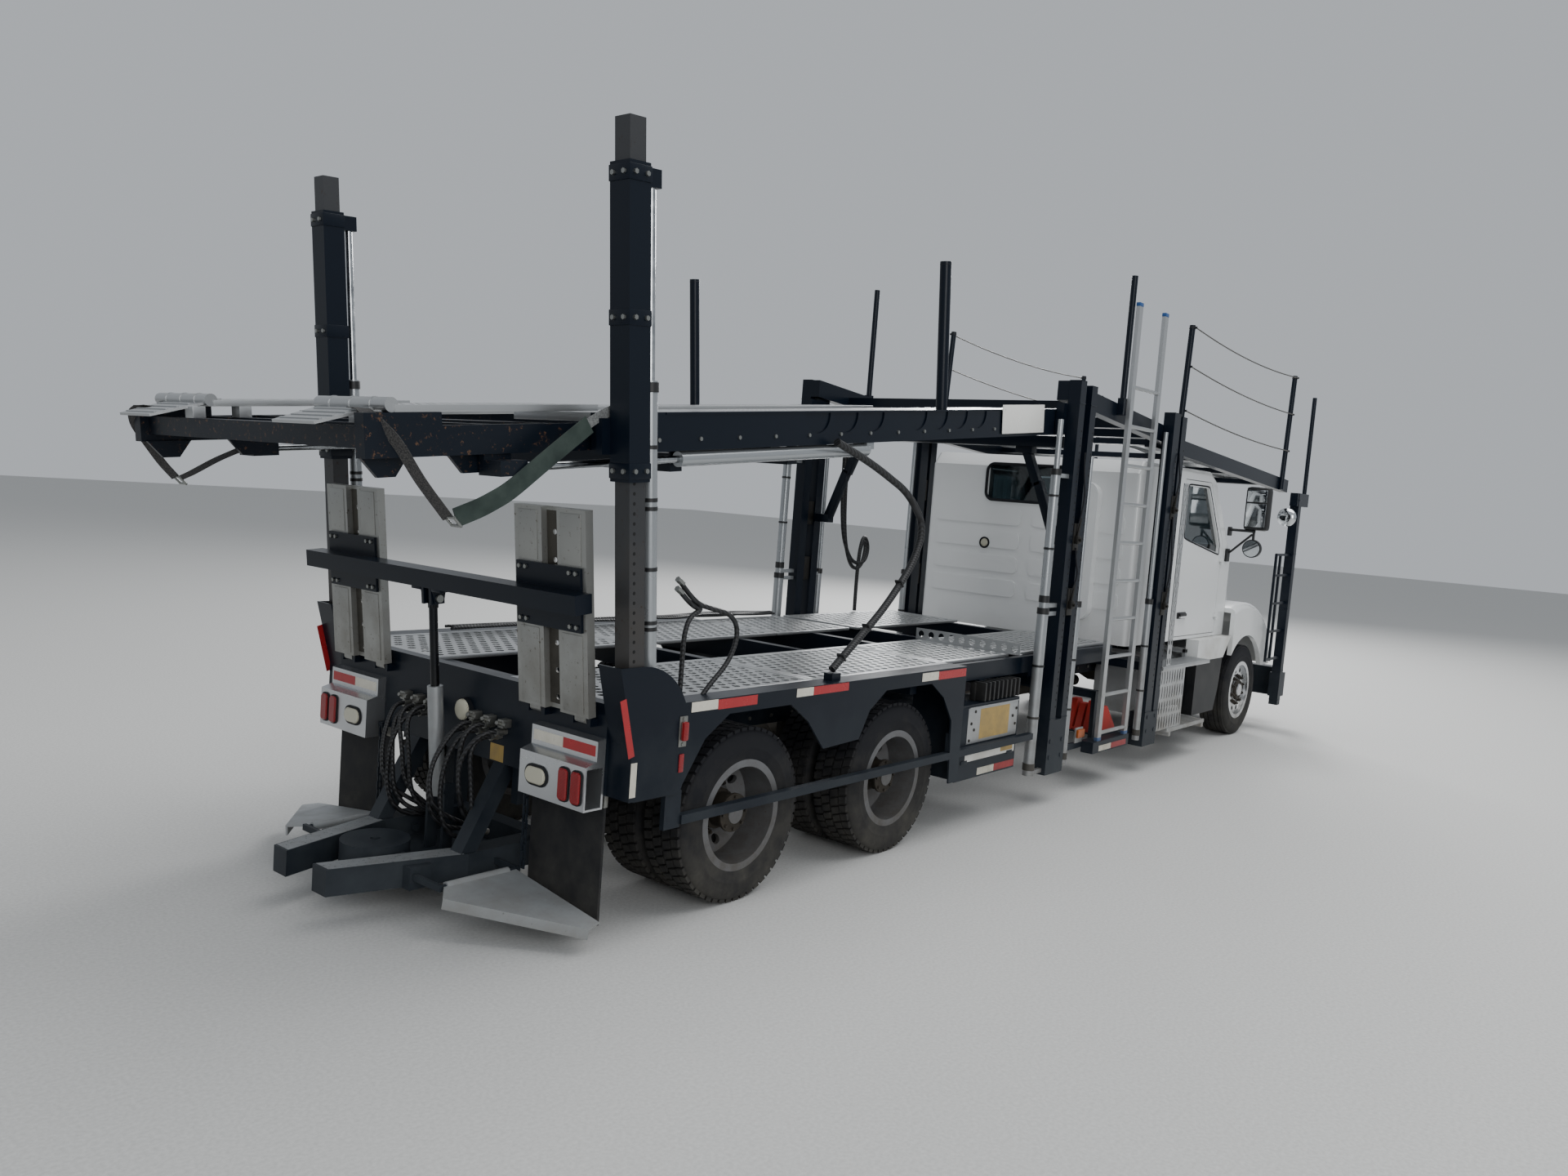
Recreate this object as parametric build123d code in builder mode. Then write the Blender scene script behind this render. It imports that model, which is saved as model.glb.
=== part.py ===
from build123d import *
import math
import os

os.makedirs("parts", exist_ok=True)

# Car transporter truck. Millimetres, +X forward, +Y to the left, +Z up, Z = 0 on the ground.
# The origin lies under the middle of the overall length, between the wheels.

# Running gear
FRONT_AXLE_X = 4490.0
WHEELBASE = 6506.0
DRIVE_SPACING = 1403.0
TYRE_RADIUS = 468.0
TYRE_WIDTH = 285.0
TYRE_SHOULDER = 45.0
RIM_RADIUS = 298.0
RIM_WALL = 14.0
RIM_WIDTH = 260.0
BEAD_INSET = 32.0
HUB_RADIUS = 105.0
HAND_HOLE_CIRCLE = 205.0
BEAD_GAP = 0.3
FRONT_WHEEL_Y = 1010.0
DUAL_OUTER_Y = 1076.0
DUAL_SPACING = 320.0
KINGPIN_Y = 850.0
KINGPIN_RADIUS = 24.0
SPINDLE_RADIUS = 40.0
FIT_GAP = 0.05
SEAT_GAP = 0.3

# Chassis frame
RAIL_Y = 430.0
RAIL_FLANGE = 80.0
RAIL_WEB = 12.0
FRAME_TOP = 960.0
FRAME_DEPTH = 260.0
FRAME_FRONT = 900.0
FRAME_REAR = 8760.0
AXLE_BEAM_Z = 400.0

# Lower deck
DECK_TOP = 1134.0
FLOOR_THICK = 20.0
SIDE_Y = 1285.0
SILL_REAR = 8785.0
GUARD_Y = 1292.0
GUARD_THICK = 10.0
GUARD_TOP = 1330.0
GUARD_FOOT = 8830.0
SILL_FRONT = 5850.0
CROSSMEMBER_X = 8850.0

# Posts
POST_Y = 1236.0
REAR_POST_X = 8800.0
REAR_POST_BASE = 1138.3
REAR_POST_TOP = 3730.0
REAR_POST_LEAN = 4.9
REAR_TUBE = 95.0
SLEEVE_WALL = 15.0
SLEEVE_BOTTOM = 2170.0
SLEEVE_TOP = 3543.0
MID_POST_TOP = 3130.0
CAB_POST_TOP = 3070.0
POST_BASE = 230.0
NOSE_POST_X = 900.0
NOSE_POST_TOP = 2560.0
NOSE_STAKE_X = 1160.0
NOSE_STAKE_TOP = 3610.0

# Upper deck
DECK_PIVOT_X = 4545.0
DECK_PIVOT_Z = 2850.0
DECK_SLOPE = 5.9
DECK_RAIL_Y = 1125.0
DECK_RAIL_WIDTH = 90.0
DECK_RAIL_UP = 75.0
DECK_RAIL_DOWN = 110.0
DECK_LENGTH = 4440.0
DECK_TIP = 5690.0
TRACK_INNER = 480.0
TRACK_OUTER = 1020.0
PIVOT_RADIUS = 25.0

# Head ramp over the cab
RAMP_PIVOT_X = 2640.0
RAMP_PIVOT_Z = 2830.0
RAMP_SLOPE = -3.5
RAMP_LENGTH = 3400.0
RAMP_RAIL_Y = 1180.0
RAMP_RAIL_WIDTH = 85.0
RAMP_RAIL_DEPTH = 130.0

# Cab
CAB_HALF = 1050.0
CAB_REAR = 2800.0
CAB_WALL = 60.0
CAB_EDGE = 45.0
DUCT_Y = -586.0
DUCT_Z = 1845.0
DUCT_WIDTH = 242.0
DUCT_HEIGHT = 1210.0
RIB_HEIGHT = 9.0
CAB_FLOOR = 1060.0
CAB_ROOF = 2660.0
DOOR_REAR = 1800.0
DOOR_FRONT = 690.0
DOOR_BOTTOM = 1090.0
DOOR_TOP = 2560.0
DOOR_GAP = 6.0
DOOR_HINGE_X = 693.0
DOOR_HINGE_Y = 1064.0
DOOR_PIN = 8.0
DOOR_HINGES = (1250.0, 1800.0)
GLASS_THICK = 8.0
COWL_X = 430.0
HOOD_FRONT = 1000.0
HOOD_HINGE_X = 930.0
HOOD_HINGE_Z = 745.0
HOOD_PIN = 20.0
FENDER_Y = 1165.0
ARCH_RADIUS = 575.0
BUMPER_FRONT = 1240.0
BUMPER_REAR = 1020.0

# Rear flip plates
PLATE_HINGE_X = 8874.0
HINGE_BORE = 12.0
PLATE_HINGE_Z = 1045.0
PLATE_LEAN = 5.8
PLATE_INNER = 587.0
PLATE_OUTER = 1097.0
PLATE_HEIGHT = 990.0
PLATE_THICK = 45.0


def ahead(x):
    """Position along X of a point given ahead of the front axle."""
    return FRONT_AXLE_X + x


def behind(x):
    """Position along X of a point given behind the front axle."""
    return FRONT_AXLE_X - x


def bar(x, y, z, mode=Mode.ADD):
    """A straight piece between three pairs of limits."""
    with Locations(((x[0] + x[1]) / 2, (y[0] + y[1]) / 2, (z[0] + z[1]) / 2)):
        Box(abs(x[1] - x[0]), abs(y[1] - y[0]), abs(z[1] - z[0]), mode=mode)


def side_sheet(points, y0, y1, mode=Mode.ADD):
    """An outline in X and Z, as thick as the space from y0 to y1."""
    with BuildSketch(Plane(origin=(0, y0, 0), x_dir=(1, 0, 0), z_dir=(0, -1, 0))) as outline:
        Polygon(*points, align=None)
    extrude(outline.sketch, amount=y0 - y1, mode=mode)


def end_sheet(points, x0, x1, mode=Mode.ADD):
    """An outline in Y and Z, as thick as the space from x0 to x1."""
    with BuildSketch(Plane(origin=(x0, 0, 0), x_dir=(0, 1, 0), z_dir=(1, 0, 0))) as outline:
        Polygon(*points, align=None)
    extrude(outline.sketch, amount=x1 - x0, mode=mode)


def cross_pin(x, z, radius, y0, y1, mode=Mode.ADD):
    """A round pin or bore along Y between y0 and y1."""
    with BuildSketch(Plane(origin=(x, y0, z), x_dir=(1, 0, 0), z_dir=(0, -1, 0))) as ring:
        Circle(radius)
    extrude(ring.sketch, amount=y0 - y1, mode=mode)


def upright(x, y, radius, z0, z1, mode=Mode.ADD):
    """A round piece or bore along Z between z0 and z1."""
    with BuildSketch(Plane(origin=(x, y, z0))) as ring:
        Circle(radius)
    extrude(ring.sketch, amount=z1 - z0, mode=mode)


def along(x0, x1, y, z, radius, mode=Mode.ADD):
    """A round piece or bore along X between x0 and x1."""
    with BuildSketch(Plane(origin=(x0, y, z), x_dir=(0, 1, 0), z_dir=(1, 0, 0))) as ring:
        Circle(radius)
    extrude(ring.sketch, amount=x1 - x0, mode=mode)


FRAME_BOTTOM = FRAME_TOP - FRAME_DEPTH
AXLE_2 = behind(WHEELBASE)
AXLE_3 = behind(WHEELBASE + DRIVE_SPACING)
DUAL_INNER_Y = DUAL_OUTER_Y - DUAL_SPACING

# Chassis frame: two channel rails with crossmembers
with BuildPart() as frame_rails:
    bar((behind(FRAME_REAR), ahead(FRAME_FRONT)), (RAIL_Y - RAIL_WEB, RAIL_Y), (FRAME_BOTTOM, FRAME_TOP))
    for z in (FRAME_BOTTOM, FRAME_TOP - RAIL_WEB):
        bar((behind(FRAME_REAR), ahead(FRAME_FRONT)), (RAIL_Y - RAIL_FLANGE, RAIL_Y), (z, z + RAIL_WEB))
    mirror(about=Plane.XZ)
    for x in (-850, 1560, 2400, 3400, 4400, 5400, 6000, 7200, 8600):
        bar(
            (behind(x) - 40, behind(x) + 40),
            (-RAIL_Y + RAIL_WEB, RAIL_Y - RAIL_WEB),
            (FRAME_BOTTOM + 30, FRAME_TOP - 30),
        )
frame_rails.part.label = "frame_rails"
export_step(frame_rails.part, "parts/frame_rails.step")

# Axles: dropped front beam on leaf springs, drive housings, spindles and propeller shaft
SPRING_Y = (355.0, 425.0)
with BuildPart() as axles:
    with BuildSketch(Plane(origin=(ahead(-50), 0, 0), x_dir=(0, 1, 0), z_dir=(1, 0, 0))) as beam:
        Polygon(
            (0, AXLE_BEAM_Z - 80),
            (520, AXLE_BEAM_Z - 80),
            (700, AXLE_BEAM_Z),
            (KINGPIN_Y, AXLE_BEAM_Z),
            (KINGPIN_Y, AXLE_BEAM_Z + 90),
            (660, AXLE_BEAM_Z + 90),
            (480, AXLE_BEAM_Z + 20),
            (0, AXLE_BEAM_Z + 20),
            align=None,
        )
    extrude(beam.sketch, amount=100)
    upright(ahead(0), KINGPIN_Y, 50, AXLE_BEAM_Z, AXLE_BEAM_Z + 90)
    upright(ahead(0), KINGPIN_Y, KINGPIN_RADIUS + FIT_GAP, AXLE_BEAM_Z, AXLE_BEAM_Z + 90, Mode.SUBTRACT)
    side_sheet(
        [
            (ahead(-760), 640),
            (ahead(-500), 520),
            (ahead(0), AXLE_BEAM_Z + 5),
            (ahead(500), 520),
            (ahead(760), 640),
            (ahead(760), 670),
            (ahead(400), 545),
            (ahead(0), AXLE_BEAM_Z + 80),
            (ahead(-400), 545),
            (ahead(-760), 670),
        ],
        *SPRING_Y,
    )
    for x in (-760, 760):
        bar((ahead(x) - 35, ahead(x) + 35), SPRING_Y, (620, FRAME_BOTTOM))
    for axle_x in (AXLE_2, AXLE_3):
        cross_pin(axle_x, TYRE_RADIUS, 70, 0, 590)
        cross_pin(axle_x, TYRE_RADIUS, SPINDLE_RADIUS, 590, DUAL_OUTER_Y + 60)
        bar((axle_x - 60, axle_x + 60), (360, 420), (TYRE_RADIUS, TYRE_RADIUS + 100))
        upright(axle_x, 390, 100, TYRE_RADIUS + 100, FRAME_BOTTOM)
    mirror(about=Plane.XZ)
    for axle_x in (AXLE_2, AXLE_3):
        with Locations((axle_x, 0, TYRE_RADIUS)):
            Sphere(190)
    along(AXLE_3 + 150, AXLE_2 - 150, 0, TYRE_RADIUS + 40, 55)
    along(AXLE_2 + 150, ahead(-1500), 0, TYRE_RADIUS + 40, 55)
axles.part.label = "axles"
export_step(axles.part, "parts/axles.step")

# Steering knuckles: yoke around the beam end, kingpin and spindle
knuckles = {}
for side, name in ((1, "l"), (-1, "r")):
    with BuildPart() as knuckle:
        for z0, z1 in ((AXLE_BEAM_Z - 45, AXLE_BEAM_Z - 5), (AXLE_BEAM_Z + 95, AXLE_BEAM_Z + 135)):
            upright(ahead(0), side * KINGPIN_Y, 48, z0, z1)
            bar((ahead(-45), ahead(45)), (side * KINGPIN_Y, side * (KINGPIN_Y + 90)), (z0, z1))
        upright(ahead(0), side * KINGPIN_Y, KINGPIN_RADIUS, AXLE_BEAM_Z - 45, AXLE_BEAM_Z + 135)
        bar(
            (ahead(-45), ahead(45)),
            (side * (KINGPIN_Y + 60), side * (KINGPIN_Y + 90)),
            (AXLE_BEAM_Z - 45, AXLE_BEAM_Z + 135),
        )
        cross_pin(
            ahead(0), TYRE_RADIUS, SPINDLE_RADIUS, side * (KINGPIN_Y + 60), side * (FRONT_WHEEL_Y + 60)
        )
    knuckle.part.label = f"knuckle_{name}"
    export_step(knuckle.part, f"parts/knuckle_{name}.step")
    knuckles[name] = knuckle

# Wheels: tyres and rims, turned about Y
TYRE_FOOT = RIM_RADIUS - 25
SIDEWALL_START = RIM_RADIUS + 60
FLANGE_INNER = (
    TYRE_WIDTH / 2
    - BEAD_INSET * (SIDEWALL_START - RIM_RADIUS) / (SIDEWALL_START - TYRE_FOOT)
    + BEAD_GAP
)


def tyre(y):
    """A tyre whose middle plane lies at y, in the open builder."""
    half = TYRE_WIDTH / 2
    with BuildSketch(Plane.YZ) as section:
        Polygon(
            (y - half + BEAD_INSET, TYRE_FOOT),
            (y - half, SIDEWALL_START),
            (y - half, TYRE_RADIUS - TYRE_SHOULDER),
            (y - half + 25, TYRE_RADIUS),
            (y + half - 25, TYRE_RADIUS),
            (y + half, TYRE_RADIUS - TYRE_SHOULDER),
            (y + half, SIDEWALL_START),
            (y + half - BEAD_INSET, TYRE_FOOT),
            align=None,
        )
    revolve(section.sketch, axis=Axis.Y)


def rim(side, y, disc_y, bulge, hub_inner, hub_outer, hole_radius):
    """A wheel centred at y with its disc at disc_y, bulging outward or inward, and its hub."""
    well = TYRE_FOOT - BEAD_GAP
    half = TYRE_WIDTH / 2
    with BuildSketch(Plane.YZ) as section:
        Polygon(
            (side * (y - RIM_WIDTH / 2), RIM_RADIUS),
            (side * (y - RIM_WIDTH / 2), well - RIM_WALL),
            (side * disc_y, well - RIM_WALL),
            (side * (disc_y + bulge), HUB_RADIUS + 60),
            (side * (disc_y + bulge / 2), HUB_RADIUS),
            (side * hub_inner, HUB_RADIUS),
            (side * hub_inner, 0),
            (side * hub_outer, 0),
            (side * hub_outer, 55),
            (side * (disc_y + bulge / 2 + 45), 75),
            (side * (disc_y + bulge / 2 + 25), HUB_RADIUS + 5),
            (side * (disc_y + bulge + 22), HUB_RADIUS + 60),
            (side * (disc_y + 26), well - RIM_WALL),
            (side * (y + RIM_WIDTH / 2), well - RIM_WALL),
            (side * (y + RIM_WIDTH / 2), RIM_RADIUS),
            (side * (y + FLANGE_INNER), RIM_RADIUS),
            (side * (y + half - BEAD_INSET + BEAD_GAP), well),
            (side * (y - half + BEAD_INSET - BEAD_GAP), well),
            (side * (y - FLANGE_INNER), RIM_RADIUS),
            align=None,
        )
    revolve(section.sketch, axis=Axis.Y)
    for turn in range(10):
        angle = math.radians(36 * turn)
        cross_pin(
            HAND_HOLE_CIRCLE * math.cos(angle),
            HAND_HOLE_CIRCLE * math.sin(angle),
            hole_radius,
            side * (disc_y - 40),
            side * (disc_y + 70),
            Mode.SUBTRACT,
        )


# Front wheels, each with its tyre and a bright rim with ten hand holes
for side, name in ((1, "l"), (-1, "r")):
    with BuildPart() as front_tyre:
        tyre(side * FRONT_WHEEL_Y)
    front_tyre.part.label = f"front_tyre_{name}"
    front_tyre.part.position = (FRONT_AXLE_X, 0, TYRE_RADIUS)
    export_step(front_tyre.part, f"parts/front_tyre_{name}.step")
    with BuildPart() as front_rim:
        rim(side, FRONT_WHEEL_Y, FRONT_WHEEL_Y + 70, 8, FRONT_WHEEL_Y - 60, FRONT_WHEEL_Y + 140, 24)
        cross_pin(0, 0, SPINDLE_RADIUS + FIT_GAP, side * 900, side * (FRONT_WHEEL_Y + 62), Mode.SUBTRACT)
    front_rim.part.label = f"front_rim_{name}"
    front_rim.part.position = (FRONT_AXLE_X, 0, TYRE_RADIUS)
    export_step(front_rim.part, f"parts/front_rim_{name}.step")

# Drive wheels: two tyres and two rims on one hub at each corner
for axle_x, number in ((AXLE_2, 2), (AXLE_3, 3)):
    for side, name in ((1, "l"), (-1, "r")):
        with BuildPart() as drive_tyres:
            tyre(side * DUAL_OUTER_Y)
            tyre(side * DUAL_INNER_Y)
        drive_tyres.part.label = f"drive_tyres_{number}{name}"
        drive_tyres.part.position = (axle_x, 0, TYRE_RADIUS)
        export_step(drive_tyres.part, f"parts/drive_tyres_{number}{name}.step")
        with BuildPart() as drive_rims:
            rim(side, DUAL_OUTER_Y, DUAL_OUTER_Y - 100, -40, 640, DUAL_OUTER_Y + 90, 26)
            rim(side, DUAL_INNER_Y, DUAL_INNER_Y + 60, 40, 600, 900, 26)
            cross_pin(
                0, 0, SPINDLE_RADIUS + FIT_GAP, side * 590, side * (DUAL_OUTER_Y + 62), Mode.SUBTRACT
            )
        drive_rims.part.label = f"drive_rims_{number}{name}"
        drive_rims.part.position = (axle_x, 0, TYRE_RADIUS)
        export_step(drive_rims.part, f"parts/drive_rims_{number}{name}.step")

# Engine and gearbox as one plain block between the rails
with BuildPart() as engine_block:
    bar((ahead(-400), ahead(700)), (-330, 330), (760, 1330))
    bar((ahead(-1250), ahead(-400)), (-230, 230), (700, 950))
    along(ahead(-1500), ahead(-1250), 0, TYRE_RADIUS + 240, 60)
    for x in (-1000, 560):
        bar((ahead(x) - 60, ahead(x) + 60), (-RAIL_Y + RAIL_WEB, RAIL_Y - RAIL_WEB), (800, 860))
engine_block.part.label = "engine_block"
export_step(engine_block.part, "parts/engine_block.step")

# Cab shell with a short sleeper: hollow, with door, windscreen and rear window openings
CAB_PROFILE = [
    (behind(CAB_REAR), CAB_FLOOR),
    (behind(CAB_REAR), CAB_ROOF - 110),
    (behind(CAB_REAR - 90), CAB_ROOF),
    (behind(1150), CAB_ROOF),
    (behind(1000), CAB_ROOF - 70),
    (behind(COWL_X), 1900),
    (behind(COWL_X), CAB_FLOOR),
]
CAB_VOID = [
    (behind(CAB_REAR - CAB_WALL), CAB_FLOOR + CAB_WALL),
    (behind(CAB_REAR - CAB_WALL), CAB_ROOF - 130),
    (behind(CAB_REAR - 130), CAB_ROOF - CAB_WALL),
    (behind(1180), CAB_ROOF - CAB_WALL),
    (behind(1060), CAB_ROOF - 120),
    (behind(COWL_X + CAB_WALL), 1870),
    (behind(COWL_X + CAB_WALL), CAB_FLOOR + CAB_WALL),
]
with BuildPart() as cab_shell:
    side_sheet(CAB_PROFILE, CAB_HALF, -CAB_HALF)
    outline_edges = [
        edge
        for edge in cab_shell.edges()
        if abs(edge.center().Y) > CAB_HALF - 1
        and edge.center().Z > 1250
        and edge.center().X < behind(COWL_X + 5)
    ]
    fillet(outline_edges, CAB_EDGE)
    with BuildSketch(Plane(origin=(behind(CAB_REAR), 0, 1760), x_dir=(0, -1, 0), z_dir=(-1, 0, 0))) as ribs:
        with GridLocations(1000, 220, 2, 4):
            RectangleRounded(880, 150, 40)
    extrude(ribs.sketch, amount=RIB_HEIGHT)
    with BuildSketch(
        Plane(origin=(behind(CAB_REAR), DUCT_Y, DUCT_Z), x_dir=(0, -1, 0), z_dir=(-1, 0, 0))
    ) as duct:
        RectangleRounded(DUCT_WIDTH, DUCT_HEIGHT, 110)
    extrude(duct.sketch, amount=90)
    side_sheet(CAB_VOID, CAB_HALF - CAB_WALL, -CAB_HALF + CAB_WALL, Mode.SUBTRACT)
    for side in (1, -1):
        bar(
            (behind(DOOR_REAR), behind(DOOR_FRONT)),
            (side * (CAB_HALF - CAB_WALL - 1), side * (CAB_HALF + 10)),
            (DOOR_BOTTOM, DOOR_TOP - 560),
            Mode.SUBTRACT,
        )
    side_sheet(
        [
            (behind(DOOR_REAR), DOOR_TOP - 570),
            (behind(DOOR_REAR), DOOR_TOP),
            (behind(1150), DOOR_TOP),
            (behind(DOOR_FRONT), DOOR_TOP - 560),
            (behind(DOOR_FRONT), DOOR_TOP - 570),
        ],
        CAB_HALF + 10,
        -CAB_HALF - 10,
        Mode.SUBTRACT,
    )
    bar((behind(CAB_REAR + 10), behind(CAB_REAR - CAB_WALL - 10)), (-430, 430), (2250, 2560), Mode.SUBTRACT)
    side_sheet(
        [
            (behind(COWL_X + 45), 1960),
            (behind(COWL_X + 500), CAB_ROOF - 130),
            (behind(COWL_X + 700), CAB_ROOF - 130),
            (behind(COWL_X + 300), 1960),
        ],
        CAB_HALF - 130,
        -CAB_HALF + 130,
        Mode.SUBTRACT,
    )
    side_sheet(
        [
            (behind(COWL_X - 100), 1960),
            (behind(COWL_X + 400), CAB_ROOF - 130),
            (behind(COWL_X + 620), CAB_ROOF - 130),
            (behind(COWL_X + 120), 1960),
        ],
        CAB_HALF - 130,
        -CAB_HALF + 130,
        Mode.SUBTRACT,
    )
    bar(
        (behind(CAB_REAR - 300), behind(COWL_X + 100)), (-RAIL_Y, RAIL_Y), (FRAME_TOP + SEAT_GAP, CAB_FLOOR)
    )
    for side in (1, -1):
        for z in DOOR_HINGES:
            bar(
                (behind(DOOR_HINGE_X + 10), behind(DOOR_FRONT - 40)),
                (side * (CAB_HALF + 6), side * (DOOR_HINGE_Y + 10)),
                (z - 30, z),
            )
            bar(
                (behind(DOOR_FRONT - 2), behind(DOOR_FRONT - 40)),
                (side * (CAB_HALF - 5), side * (CAB_HALF + 7)),
                (z - 30, z),
            )
            upright(behind(DOOR_HINGE_X), side * DOOR_HINGE_Y, DOOR_PIN, z - 1, z + 40)
cab_shell.part.label = "cab_shell"
export_step(cab_shell.part, "parts/cab_shell.step")

# Cab glass: windscreen and rear window, set in their openings
SCREEN_FOOT = (behind(COWL_X + 60), 1965.0)
SCREEN_HEAD = (behind(970), 2515.0)
with BuildPart() as cab_glass:
    side_sheet(
        [
            SCREEN_FOOT,
            SCREEN_HEAD,
            (SCREEN_HEAD[0] - GLASS_THICK, SCREEN_HEAD[1] - GLASS_THICK),
            (SCREEN_FOOT[0] - GLASS_THICK * 2, SCREEN_FOOT[1]),
        ],
        CAB_HALF - 130 - SEAT_GAP,
        -CAB_HALF + 130 + SEAT_GAP,
    )
    bar(
        (behind(CAB_REAR - 20), behind(CAB_REAR - 20 - GLASS_THICK)),
        (-430 + SEAT_GAP, 430 - SEAT_GAP),
        (2250 + SEAT_GAP, 2560 - SEAT_GAP),
    )
cab_glass.part.label = "cab_glass"
export_step(cab_glass.part, "parts/cab_glass.step")

# Cab interior seen through the glass: two seats, dashboard and steering wheel
with BuildPart() as cab_interior:
    for side in (1, -1):
        bar(
            (behind(1650), behind(1150)),
            (side * 260, side * 760),
            (CAB_FLOOR + CAB_WALL + 0.3, CAB_FLOOR + 480),
        )
        side_sheet(
            [
                (behind(1650), CAB_FLOOR + 440),
                (behind(1750), CAB_FLOOR + 1150),
                (behind(1630), CAB_FLOOR + 1150),
                (behind(1520), CAB_FLOOR + 440),
            ],
            510 * side + 230,
            510 * side - 230,
        )
    bar(
        (behind(900), behind(COWL_X + CAB_WALL + SEAT_GAP)),
        (-CAB_HALF + 90, CAB_HALF - 90),
        (CAB_FLOOR + 500, CAB_FLOOR + 760),
    )
    bar((behind(640), behind(540)), (-300, 300), (CAB_FLOOR + CAB_WALL + 0.3, CAB_FLOOR + 520))
    with Locations(Location((behind(960), 510, CAB_FLOOR + 800), (0, -60, 0))):
        Torus(220, 18)
        Box(440, 40, 20)
        with Locations((0, 0, -160)):
            Cylinder(25, 320)
cab_interior.part.label = "cab_interior"
export_step(cab_interior.part, "parts/cab_interior.step")

# Doors: as thick as the cab wall, hollow behind the window, hinged at their front edge
DOOR_PROFILE = [
    (behind(DOOR_REAR - DOOR_GAP), DOOR_BOTTOM + DOOR_GAP),
    (behind(DOOR_REAR - DOOR_GAP), DOOR_TOP - DOOR_GAP),
    (behind(1150 + DOOR_GAP), DOOR_TOP - DOOR_GAP),
    (behind(DOOR_FRONT + DOOR_GAP), DOOR_TOP - 560 - DOOR_GAP),
    (behind(DOOR_FRONT + DOOR_GAP), DOOR_BOTTOM + DOOR_GAP),
]
WINDOW_PROFILE = [
    (behind(DOOR_REAR - 90), 2020),
    (behind(DOOR_REAR - 90), DOOR_TOP - 60),
    (behind(1200), DOOR_TOP - 60),
    (behind(DOOR_FRONT + 90), 1950),
    (behind(DOOR_FRONT + 90), 1880),
]
for side, name in ((1, "l"), (-1, "r")):
    face = side * CAB_HALF
    back = side * (CAB_HALF - CAB_WALL)
    with BuildPart() as door:
        side_sheet(DOOR_PROFILE, max(face, back), min(face, back))
        side_sheet(WINDOW_PROFILE, max(face, back) + 1, min(face, back) - 1, Mode.SUBTRACT)
        bar((behind(1660), behind(1480)), (face, face + side * 28), (1270, 1310))
        for z in DOOR_HINGES:
            bar(
                (behind(DOOR_HINGE_X + 60), behind(DOOR_HINGE_X - 10)),
                (side * (CAB_HALF + 6), side * (DOOR_HINGE_Y + 10)),
                (z + SEAT_GAP, z + 40),
            )
            bar(
                (behind(DOOR_HINGE_X + 60), behind(DOOR_HINGE_X + 20)),
                (face, side * (CAB_HALF + 7)),
                (z + SEAT_GAP, z + 40),
            )
            upright(
                behind(DOOR_HINGE_X), side * DOOR_HINGE_Y, DOOR_PIN + FIT_GAP, z, z + 41, Mode.SUBTRACT
            )
    door.part.label = f"door_{name}"
    export_step(door.part, f"parts/door_{name}.step")
    with BuildPart() as door_glass:
        side_sheet(WINDOW_PROFILE, side * (CAB_HALF - 30) + 4, side * (CAB_HALF - 30) - 4)
    door_glass.part.label = f"door_glass_{name}"
    export_step(door_glass.part, f"parts/door_glass_{name}.step")

# Hood with its fenders: one hollow moulded shell, hinged at the front and open below
HOOD_REAR = COWL_X - 8
HOOD_WALL = 45.0
HOOD_SECTIONS = [
    # X, half width, bottom, top, corner radius
    (behind(HOOD_REAR), 985, 880, 1810, 170),
    (ahead(300), 790, 800, 1700, 210),
    (ahead(HOOD_FRONT), 590, 690, 1420, 190),
]
HOOD_VOIDS = [
    # X, half width, bottom, top, corner radius
    (behind(HOOD_REAR + 5), 940, 820, 1765, 130),
    (ahead(300), 745, 740, 1655, 165),
    (ahead(HOOD_FRONT - HOOD_WALL), 550, 640, 1385, 150),
]
FENDER_INNER = 560.0
FENDER_EDGE = 60.0
LAMP_SEAT = 800.0
LAMP_FRONT = 846.0
LAMP_Y = (700.0, 1060.0)
LAMP_Z = (720.0, 870.0)


def fender_outline(inset):
    """Side outline of a fender, drawn in from its top and front."""
    Polyline(
        (ahead(840) - inset, 640),
        (behind(HOOD_REAR + 2), 640),
        (behind(HOOD_REAR + 2), 1330 - inset),
    )
    ThreePointArc(
        (behind(HOOD_REAR + 2), 1330 - inset),
        (ahead(120), 1365 - inset),
        (ahead(600), 1160 - inset),
    )
    ThreePointArc((ahead(600), 1160 - inset), (ahead(790) - inset, 920), (ahead(840) - inset, 640))


def hood_form(sections, mode):
    """The hood's tapering form or its void, through rounded sections."""
    faces = []
    for x, half, bottom, top, radius in sections:
        middle = (x, 0, (bottom + top) / 2)
        with BuildSketch(Plane(origin=middle, x_dir=(0, 1, 0), z_dir=(1, 0, 0))) as section:
            RectangleRounded(2 * half, top - bottom, radius)
        faces.append(section.sketch)
    loft(faces, mode=mode)


def fender_form(outer, inner, inset, mode):
    """Both fenders, or the space in them, between two distances from the middle."""
    for side in (1, -1):
        with BuildSketch(Plane(origin=(0, side * outer, 0), x_dir=(1, 0, 0), z_dir=(0, -1, 0))) as form:
            with BuildLine():
                fender_outline(inset)
            make_face()
        extrude(form.sketch, amount=side * (outer - inner), mode=mode)


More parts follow.
